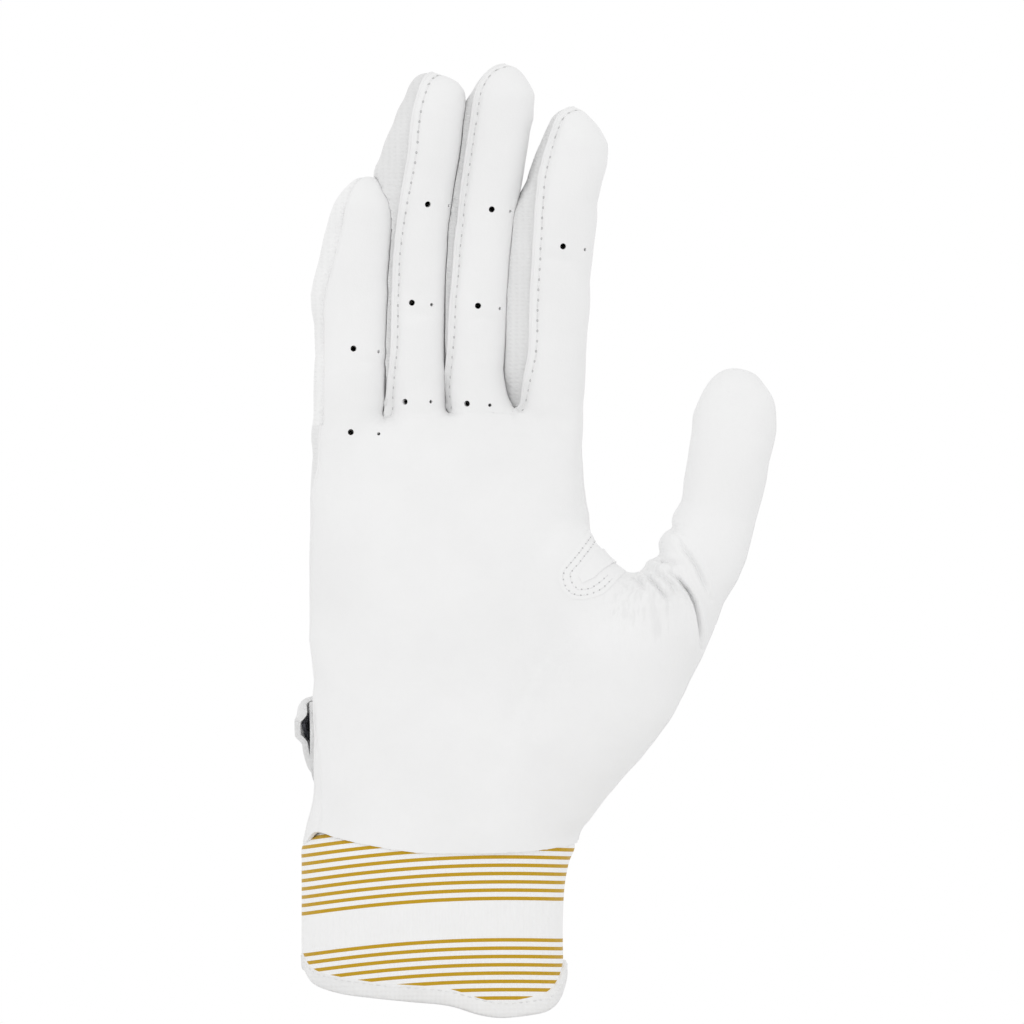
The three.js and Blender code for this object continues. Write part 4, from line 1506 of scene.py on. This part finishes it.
class GLOVE_OT_fingers(bpy.types.Operator):
    """Sews each finger from its leather, its side and its back, with rolled edges, stitches and air holes"""
    bl_idname = "glove.fingers"
    bl_label = "Fingers"

    def execute(self, context):
        for finger in FINGERS:
            self.sew_finger(finger, blank(f"{finger.name} blank"))
        return {"FINISHED"}

    def sew_finger(self, finger, form):
        edges = (lambda z: seam_angle(finger, z), lambda z: WRAP_START + 0 * z, lambda z: SIDE_END + 0 * z)
        for angle_at in edges:
            unroll(form, finger, angle_at, -1)
            cut(form, (0, 0, 0), (0, 1, 0))
            unroll(form, finger, angle_at, 1)
        centres = face_centres(form)
        angle = degrees_round(centres, finger)
        wrapped = angle < seam_angle(finger, centres[:, 2])
        side = ~wrapped & (angle < SIDE_END) & (finger.name != "little")
        surface = surface_of(form)
        for part, wanted in (("leather", wrapped), ("side", side), ("back", ~wrapped & ~side)):
            if not wanted.any():
                continue
            piece = keep(form, wanted, f"{finger.name}_finger_{part}_skin")
            if part == "leather":
                seam = self.edges(finger, piece, surface)
            elif finger.name != "little":
                self.sink(finger, piece)
            if finger.name == "little":
                press(piece, seam, *LITTLE_SEAM)
            wall(piece, size("leather"))
            if part == "leather":
                pierce(piece, [pair for pair in finger.holes if pair[0][1] > finger.cut])
            # The little finger's back gets the knit painted lighter against its shade.
            back = "knit" if finger.swell else "pale"
            # The side knit is painted darker for the shade between the fingers.
            material = {"leather": "leather", "side": "side", "back": back}[part]
            dress(piece, finish(material), "leather" if part == "leather" else "knit")
            bend_finger(piece, finger)
            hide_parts(f"{finger.name}_finger_{part}")
        remove(form)

    def sink(self, finger, piece):
        """Sets a knit panel lower than the leather, but not where it meets the hand or is swollen."""
        points = points_of(piece) / MM
        angle = degrees_round(points, finger)
        seam = seam_angle(finger, points[:, 2])
        swollen = smooth_steps(angle, seam + 6, seam + 18) * (1 - smooth_steps(angle, *SWELL_FADE))
        push = KNIT_SUNK * smooth_steps(points[:, 2], finger.cut, finger.cut + 4) * (1 - swollen)
        set_points(piece, (points - normals_of(piece) * push[:, None]) * MM)

    def edges(self, finger, piece, surface):
        """Rolls the edges of a finger's leather and sews along the one that shows; gives that edge."""
        paths = border_paths(piece, lambda p: abs(p[2] - finger.cut) < 0.2)
        path = max(paths, key=len)
        if path[0].x > path[-1].x:
            path.reverse()
        top = max(range(len(path)), key=lambda k: path[k].z)
        shown = evenly(path[:top + 1], 0.8)
        if finger.name == "little":
            return shown
        hidden = evenly(path[top:], 0.8)
        lips = [
            piping(f"{finger.name}_finger_leather_edge", [shown], surface, size("lip"), 0.12,
                   lambda p: 1 - LIP_THINNED * at_side(finger, p.z) * (finger.swell[2] > 0)),
            piping(f"{finger.name}_finger_back_edge", [hidden], surface, size("lip") / 3, 0.05),
        ]
        for lip in lips:
            dress(lip, finish("piping"), "leather")
            bend_finger(lip, finger)
        inside = Vector(finger.centre(0.6)) + turned(0, -30, finger.roll)
        row = inset(shown, surface, size("inset"), inside)
        press(piece, row, size("groove"), 1)
        for thread in sew(f"{finger.name}_finger_stitches", [row], surface_of(piece)):
            bend_finger(thread, finger)
        return shown


class GLOVE_OT_thumb(bpy.types.Operator):
    """Sews the front and the back of the thumb"""
    bl_idname = "glove.thumb"
    bl_label = "Thumb"

    def execute(self, context):
        form = blank("thumb blank")
        cut(form, (0, THUMB_SEAM, 0), (0, 1, 0))
        front = face_centres(form)[:, 1] < THUMB_SEAM
        surface = surface_of(form)
        for name, wanted, material, cad in (
            ("thumb_leather_front", front, "leather", "thumb_leather"),
            ("thumb_knit_back", ~front, "knit", "thumb_back"),
        ):
            piece = keep(form, wanted, name)
            if material == "leather":
                paths = border_paths(
                    piece, lambda p: abs((Vector(p) - THUMB_FOLD).dot(THUMB_AXIS) - THUMB_START) < 0.2)
                lip = piping("thumb_leather_edge", [evenly(p, 1) for p in paths], surface, 0.4, 0.15)
                dress(lip, finish("piping"), "leather")
                bend_thumb(lip)
            wall(piece, size("leather"))
            dress(piece, finish(material), material)
            bend_thumb(piece)
            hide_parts(cad)
        remove(form)
        return {"FINISHED"}


# across and up: the patch over the thumb crotch, its two rows of stitches and the panel let into it
PATCH_EDGE = (
    (39.6, 121.8), (36.6, 117.2), (33.4, 113.4), (32.2, 111.6), (32.1, 109.4), (32.9, 106.7),
    (35.6, 104.3), (38.9, 104.2), (41.7, 104.9), (43.6, 105.6), (45.4, 107.2), (46.8, 108.8), (51, 113),
    (52, 118), (44, 127),
)
PATCH_ROWS = (
    ((40.6, 120.6), (37.6, 116.5), (34.5, 112.8), (33.3, 111.2), (33.3, 109.5), (34, 107.3), (36, 105.5),
     (38.8, 105.3), (41.3, 106), (42.9, 106.7), (44.5, 108), (45.8, 109.4)),
    ((41.6, 119.4), (40.4, 117.5), (38.6, 115.2), (37.2, 113.4), (35.3, 111.3), (35.1, 109.7), (36.4, 107.2),
     (38, 106.8), (40.2, 107), (41.9, 108), (43.2, 109), (44.5, 110.2)),
)
PATCH_PANEL = (
    (41.6, 116.4), (40.6, 114.7), (38.3, 112.2), (37.4, 110.1), (38.3, 108.4), (41, 109.7),
    (43.4, 111.8), (45.9, 113.4), (47.6, 113.6), (46, 118),
)
PATCH_STITCH_SHARE = 0.62


def inside_outline(points, outline):
    """True for the points whose across and up places lie inside an outline."""
    inside = np.zeros(len(points), bool)
    for (x0, z0), (x1, z1) in zip(outline, outline[1:] + outline[:1]):
        crosses = (z0 > points[:, 2]) != (z1 > points[:, 2])
        rise = np.where(z1 == z0, 1e-9, z1 - z0)
        inside ^= crosses & (points[:, 0] < (x1 - x0) * (points[:, 2] - z0) / rise + x0)
    return inside


def laid_on(form, outline, name, lift, thickness):
    """A panel of an outline seen from the palm, cut from the skin and laid on it, and its outer surface."""
    centres = face_centres(form)
    near = np.array(outline)
    low, high = near.min(0) - 3, near.max(0) + 3
    wanted = (
        (centres[:, 0] > low[0]) & (centres[:, 0] < high[0])
        & (centres[:, 2] > low[1]) & (centres[:, 2] < high[1])
    )
    panel = keep(form, wanted & (centres[:, 1] < 0), name)
    for (x0, z0), (x1, z1) in zip(outline, outline[1:] + outline[:1]):
        cut(panel, (x0, 0, z0), Vector((z1 - z0, 0, x0 - x1)).normalized())
    made = keep(panel, inside_outline(face_centres(panel), outline), name + "_leaf")
    remove(panel)
    made.name = made.data.name = name
    set_points(made, points_of(made) + normals_of(made) * lift * MM)
    outer = surface_of(made)
    wall(made, thickness)
    return made, outer


class GLOVE_OT_patch(bpy.types.Operator):
    """Sews the reinforcing patch over the crotch of the thumb"""
    bl_idname = "glove.patch"
    bl_label = "Thumb crotch patch"

    def execute(self, context):
        form = blank("hand blank")
        patch, surface = laid_on(form, PATCH_EDGE, "thumb_crotch_patch_leather", 0.2, 0.5)
        dress(patch, finish("patch"), "leather")
        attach(patch, "hand")
        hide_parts("thumb_crotch_patch")
        panel, _ = laid_on(form, PATCH_PANEL, "thumb_crotch_panel", 0.6, 0.5)
        dress(panel, finish("patch"), "leather")
        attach(panel, "hand")
        rows = []
        for row in PATCH_ROWS:
            spots = []
            for across, up in zip(*smooth_table(row)):
                at, _ = seen_from_palm(surface, across, up)
                spots.append(at / MM if at else nearest(surface, (across, -15, up))[0])
            rows.append(spots)
        for thread in sew("thumb_crotch_stitches", rows, surface, PATCH_STITCH_SHARE):
            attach(thread, "hand")
        return {"FINISHED"}


STRAP_LOW = 51.2
STRAP_HIGH = 79.5
STRAP_AXIS = 3.3
# up and round: the rounded free end of the strap, and from where to where it stands open
STRAP_END_SHARES = (
    (0, 151), (0.06, 154), (0.19, 161), (0.34, 170), (0.52, 175.5), (0.67, 178), (0.78, 182.5), (0.87, 182.5),
    (0.93, 177), (0.98, 167), (1, 157),
)
STRAP_END = smooth_table(STRAP_END_SHARES)
STRAP_OPEN = (0.53, 0.62, 0.76, 0.84)
# in degrees round the wrist: where the hooks, the pile and the sewn end start and stop
HOOKS_START = 136
HOOKS_INSET = (13, 6.5)
PILE_START = 118
PILE_END = (166, 181)
ANCHOR_START = 35
ANCHOR_GAP = 1.2
# how thick each strip is, and how far its outside stands off the hand
STRAP_THICK = 1.5
STRAP_LIFT = 4.4
HOOKS_THICK = 0.9
HOOKS_LIFT = 2.85
PILE_THICK = 1
PILE_LIFT = 0.9
ANCHOR_THICK = 1.2
ANCHOR_LIFT = 1.6
ANCHOR_RISE = 2.4
# how far the hooks and the pile stay inside the strap's edges, and the corners and edges of every strip
PATCH_INSET = 2
STRIP_ROWS = 52
STRIP_EDGE = 0.35
# the rows of stitches, as shares of the strap's height, and in degrees where they start and stop
STITCH_ROW_SHARES = (0.07, 0.93)
STITCHES_START = 60
STITCHES_INSET = 4
STITCH_STEPS = 59
STITCH_REACH = 60


def stands_open(v):
    """How far the free end of the strap stands open at a share of its height."""
    low, open_low, open_top, top = STRAP_OPEN
    return smooth_step(v, low, open_low) * (1 - smooth_step(v, open_top, top))


class GLOVE_OT_strap(bpy.types.Operator):
    """Makes the wrist strap with its hooks, the loop pile under it and its sewn end"""
    bl_idname = "glove.strap"
    bl_label = "Strap"

    def execute(self, context):
        surface = surface_of(blank("hand blank"))
        sewn = 57

        def end(v):
            return float(np.interp(v, *STRAP_END))

        def strip(name, start, stop, low, high, out, thickness, across=90):
            def place(u, v):
                up = mix(low, high, v)
                angle = math.radians(mix(start, stop(v), u))
                way = Vector((math.cos(angle), math.sin(angle), 0))
                at, normal = struck(surface, (STRAP_AXIS, 0, up), way)
                flat = Vector((normal.x, normal.y, 0)).normalized()
                return at + flat * out(u, v)
            piece = sheet(name, across, STRIP_ROWS, place)
            face_outwards(piece)
            modify(piece, "SOLIDIFY", thickness=thickness * MM, offset=-1)
            modify(piece, "BEVEL", width=STRIP_EDGE * MM, segments=2, limit_method="ANGLE")
            smooth(piece, 40)
            return piece

        def lifted(u, v):
            free = smooth_step(u, 0.8, 1)
            rolled = smooth_step(u, 0.93, 1) * (1 - stands_open(v))
            return STRAP_LIFT + 0.5 * free * stands_open(v) - 1.3 * rolled + 0.15 * math.sin(v * 9) * (1 - u)
        strap = strip("wrist_strap_elastic", sewn, end, STRAP_LOW, STRAP_HIGH, lifted, STRAP_THICK)
        dress(strap, finish("webbing"), "webbing")
        self.open_with(strap)
        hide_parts("wrist_strap")
        hooks = strip("strap_hooks", HOOKS_START, lambda v: end(v) - mix(*HOOKS_INSET, stands_open(v)),
                      STRAP_LOW + PATCH_INSET, STRAP_HIGH - PATCH_INSET,
                      lambda u, v: HOOKS_LIFT + 0.4 * smooth_step(u, 0.3, 1) * stands_open(v),
                      HOOKS_THICK, 40)
        dress(hooks, finish("hook"), "hook")
        self.open_with(hooks)
        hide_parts("strap_hook_patch")
        pile = strip("strap_loop_pile", PILE_START, lambda v: mix(*PILE_END, smooth_step(v, 0, 0.3)),
                     STRAP_LOW + PATCH_INSET, STRAP_HIGH - PATCH_INSET, lambda u, v: PILE_LIFT,
                     PILE_THICK, 50)
        dress(pile, finish("pile"), "knit")
        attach(pile, "hand")
        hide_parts("strap_loop_patch")
        anchor = strip("strap_sewn_end", ANCHOR_START, lambda v: sewn - ANCHOR_GAP, STRAP_LOW, STRAP_HIGH,
                       lambda u, v: ANCHOR_LIFT + ANCHOR_RISE * smooth_step(u, 0.1, 0.9), ANCHOR_THICK, 30)
        dress(anchor, finish("webbing"), "webbing")
        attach(anchor, "hand")
        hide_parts("strap_anchor")
        self.sew_strap(strap, end)
        return {"FINISHED"}

    def open_with(self, piece):
        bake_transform(piece)

    def sew_strap(self, strap, end):
        """Sews a row of stitches round the strap, a little inside its edge."""
        surface = surface_of(strap)
        rows = []
        for v in STITCH_ROW_SHARES:
            row = []
            for k in range(STITCH_STEPS + 1):
                angle = math.radians(mix(STITCHES_START, end(v) - STITCHES_INSET, k / STITCH_STEPS))
                way = Vector((math.cos(angle), math.sin(angle), 0))
                start = Vector((STRAP_AXIS, 0, mix(STRAP_LOW, STRAP_HIGH, v))) + way * STITCH_REACH
                hit = surface.ray_cast(start * MM, -way)
                if hit[0]:
                    row.append(hit[0] / MM)
            rows.append(row)
        for thread in sew("strap_stitches", rows, surface):
            self.open_with(thread)


CUFF_TOP = 47.5
CUFF_THICK = 1.7
SLEEVE_GRID = (240, 60)
# how far above the rim the sleeve starts, the place on the rim is taken, and the stitches run
SLEEVE_UP = 1.2
RIM_UP = 3
TAPE_STITCH_UP = 4.1
TAPE_STITCH_SHARE = 0.75
TAPE_STITCH_REACH = 3
TAPE_STEPS = 180
# the tape: half its thickness, its height, and how far inside the cuff it sits from left to right
TAPE_GRID = (260, 28)
TAPE_HALF = 1.25
TAPE_RISE = 5
TAPE_GAP = (1.05, 0.2)
TAPE_GAP_RUN = (22, 33)


class GLOVE_OT_cuff(bpy.types.Operator):
    """Knits the two halves of the cuff and binds its rim"""
    bl_idname = "glove.cuff"
    bl_label = "Cuff"

    def execute(self, context):
        def place(u, v):
            turn = u * 2 * math.pi
            low = self.round(turn, 0)
            up = mix(rim_at(low.x) + SLEEVE_UP, CUFF_TOP, v)
            return self.round(turn, up)
        sleeve = sheet("sleeve", *SLEEVE_GRID, place)
        edit(sleeve)
        merge_corners()
        finish_edit()
        cut(sleeve, (0, 0, 0), (0, 1, 0))
        front = face_centres(sleeve)[:, 1] < 0
        for name, wanted, cad in (
            ("cuff_palm_knit", front, "cuff_palm_panel"), ("cuff_back_knit", ~front, "cuff_back_panel"),
        ):
            piece = keep(sleeve, wanted, name)
            edit(piece)
            bpy.ops.mesh.normals_make_consistent(inside=False)
            finish_edit()
            face_outwards(piece, (1, 1, 0))
            wall(piece, CUFF_THICK)
            dress(piece, finish("striped"), "striped_knit")
            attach(piece, "hand")
            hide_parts(cad)
        remove(sleeve)
        self.bind()
        return {"FINISHED"}

    def round(self, turn, up, grow=0):
        """A place on the outside of the cuff, a turn round it and a height up it."""
        at, side, front, wide, deep = cuff_station(np.interp(up / CUFF_HEIGHT, *CUFF_RISE), grow)
        across, out = section(turn, wide, deep)
        return at + side * across + front * out

    def bind(self):
        """Folds the tape over the rim: its outer leaf, the fold and the inner leaf."""
        def place(u, v):
            turn = u * 2 * math.pi
            edge = self.round(turn, RIM_UP)
            outward = Vector((edge.x, edge.y, 0)).normalized()
            lap = v * 2 * math.pi
            out = TAPE_HALF * (abs(math.cos(lap)) ** 0.55) * math.copysign(1, math.cos(lap))
            climb = (abs(math.sin(lap)) ** 0.7) * math.copysign(1, math.sin(lap))
            up = TAPE_RISE / 2 + (TAPE_RISE / 2) * climb
            ripple = 0.22 * math.sin(turn * 9) * math.sin(lap)
            at = self.round(turn, rim_at(edge.x) + up)
            gap = mix(*TAPE_GAP, smooth_step(edge.x, *TAPE_GAP_RUN))
            return at + outward * (out - gap + ripple * 0.4)
        piece = sheet("cuff_binding_tape", *TAPE_GRID, place)
        edit(piece)
        merge_corners()
        bpy.ops.mesh.normals_make_consistent(inside=False)
        finish_edit()
        smooth(piece, 60)
        dress(piece, finish("tape"), "tape")
        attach(piece, "hand")
        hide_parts("cuff_binding")
        surface = surface_of(piece)
        row = []
        for i in range(TAPE_STEPS + 1):
            turn = i / TAPE_STEPS * 2 * math.pi
            edge = self.round(turn, RIM_UP)
            outward = Vector((edge.x, edge.y, 0)).normalized()
            at = self.round(turn, rim_at(edge.x) + TAPE_STITCH_UP) + outward * TAPE_STITCH_REACH
            row.append(nearest(surface, at)[0])
        for thread in sew("cuff_binding_stitches", [row], surface, TAPE_STITCH_SHARE, False):
            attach(thread, "hand")


class GLOVE_OT_stage(bpy.types.Operator):
    """Puts down the pale floor and sets the lamps and the camera"""
    bl_idname = "glove.stage"
    bl_label = "Stage"

    def execute(self, context):
        deselect()
        low = CAD_BOX[0][2]
        bpy.ops.mesh.primitive_plane_add(size=FLOOR_SIZE, location=(0, 0, low - FLOOR_GAP * MM))
        floor = bpy.context.object
        floor.name = "floor"
        bpy.ops.object.transform_apply(location=True)
        paper, tree, shader = finish_of("paper floor", (*linear("#f4f4f4"), 1), 0.9)
        rays = node(tree, "ShaderNodeLightPath")
        seen = node(tree, "ShaderNodeEmission", {"Strength": 1.0})
        mixed = node(tree, "ShaderNodeMixShader", None,
                     {0: rays.outputs["Is Camera Ray"], 1: shader.outputs[0], 2: seen.outputs[0]})
        tree.links.new(mixed.outputs[0], tree.nodes["Material Output"].inputs["Surface"])
        dress(floor, paper)
        self.light_world(context)
        for name, at, size, power in LAMPS:
            bpy.ops.object.light_add(type="AREA", location=at)
            lamp = bpy.context.object
            lamp.name = name
            lamp.data.size = size
            lamp.data.energy = power
            lamp.rotation_euler = (Vector(LAMP_AIM) - Vector(at)).to_track_quat("-Z", "Y").to_euler()
        stand = (AIM[0] * MM, -CAMERA_REACH * MM, AIM[1] * MM)
        bpy.ops.object.camera_add(location=stand, rotation=(math.pi / 2, 0, 0))
        camera = bpy.context.object
        camera.name = "photo camera"
        camera.data.sensor_width = SENSOR
        camera.data.lens = SENSOR * CAMERA_REACH / VIEW_WIDTH
        context.scene.camera = camera
        context.scene.view_settings.view_transform = "Standard"
        return {"FINISHED"}

    def light_world(self, context):
        world = context.scene.world or bpy.data.worlds.new("studio")
        context.scene.world = world
        world.use_nodes = True
        tree = world.node_tree
        tree.nodes.clear()
        rays = node(tree, "ShaderNodeLightPath")
        seen = node(tree, "ShaderNodeMath", {"operation": "MAXIMUM"},
                    {0: rays.outputs["Is Camera Ray"], 1: rays.outputs["Is Glossy Ray"]})
        fill = node(tree, "ShaderNodeBackground", {"Strength": WORLD_FILL})
        white = node(tree, "ShaderNodeBackground", {"Strength": 1.0})
        for light in (fill, white):
            light.inputs["Color"].default_value = (1, 1, 1, 1)
        both = node(tree, "ShaderNodeMixShader", None,
                    {0: seen.outputs[0], 1: fill.outputs[0], 2: white.outputs[0]})
        node(tree, "ShaderNodeOutputWorld", None, {"Surface": both.outputs[0]})


VIEW_WIDTH = 266.24
SENSOR = 36
FLOOR_SIZE = 3
FLOOR_GAP = 0.6
LAMP_AIM = (0.02, 0, 0.12)
CAMERA_REACH = 6000
AIM = (20.02, 126.88)
WORLD_FILL = 0.92
LAMPS = (
    ("key lamp", (-0.45, -1.1, 0.6), 0.5, 0.9),
    ("fill lamp", (0.7, -1.1, 0.2), 0.8, 0.45),
)

OPERATORS = (
    GLOVE_OT_stage, GLOVE_OT_panels, GLOVE_OT_patch, GLOVE_OT_strap, GLOVE_OT_hand, GLOVE_OT_fingers,
    GLOVE_OT_thumb, GLOVE_OT_cuff,
)


class GLOVE_PT_panel(bpy.types.Panel):
    """The sizes, the colours and the steps of the glove"""
    bl_idname = "GLOVE_PT_panel"
    bl_label = "Batting Glove"
    bl_space_type = "VIEW_3D"
    bl_region_type = "UI"
    bl_category = "Glove"

    def draw(self, context):
        for title, group in (("Sizes", context.scene.glove_sizes), ("Colours", context.scene.glove_colours)):
            column = self.layout.column(align=True)
            column.label(text=title)
            for name in group.__annotations__:
                column.prop(group, name)
        column = self.layout.column(align=True)
        column.label(text="Steps")
        for kind in OPERATORS:
            column.operator(kind.bl_idname)


CLASSES = (GLOVE_PG_sizes, GLOVE_PG_colours, *OPERATORS, GLOVE_PT_panel)


def register():
    for kind in CLASSES:
        bpy.utils.register_class(kind)
    bpy.types.Scene.glove_sizes = bpy.props.PointerProperty(type=GLOVE_PG_sizes)
    bpy.types.Scene.glove_colours = bpy.props.PointerProperty(type=GLOVE_PG_colours)


def unregister():
    del bpy.types.Scene.glove_colours
    del bpy.types.Scene.glove_sizes
    for kind in reversed(CLASSES):
        bpy.utils.unregister_class(kind)


def main():
    register()
    bpy.ops.glove.stage()
    bpy.ops.glove.panels()
    bpy.ops.glove.patch()
    bpy.ops.glove.strap()
    bpy.ops.glove.hand()
    bpy.ops.glove.fingers()
    bpy.ops.glove.thumb()
    bpy.ops.glove.cuff()


if __name__ == "__main__":
    main()
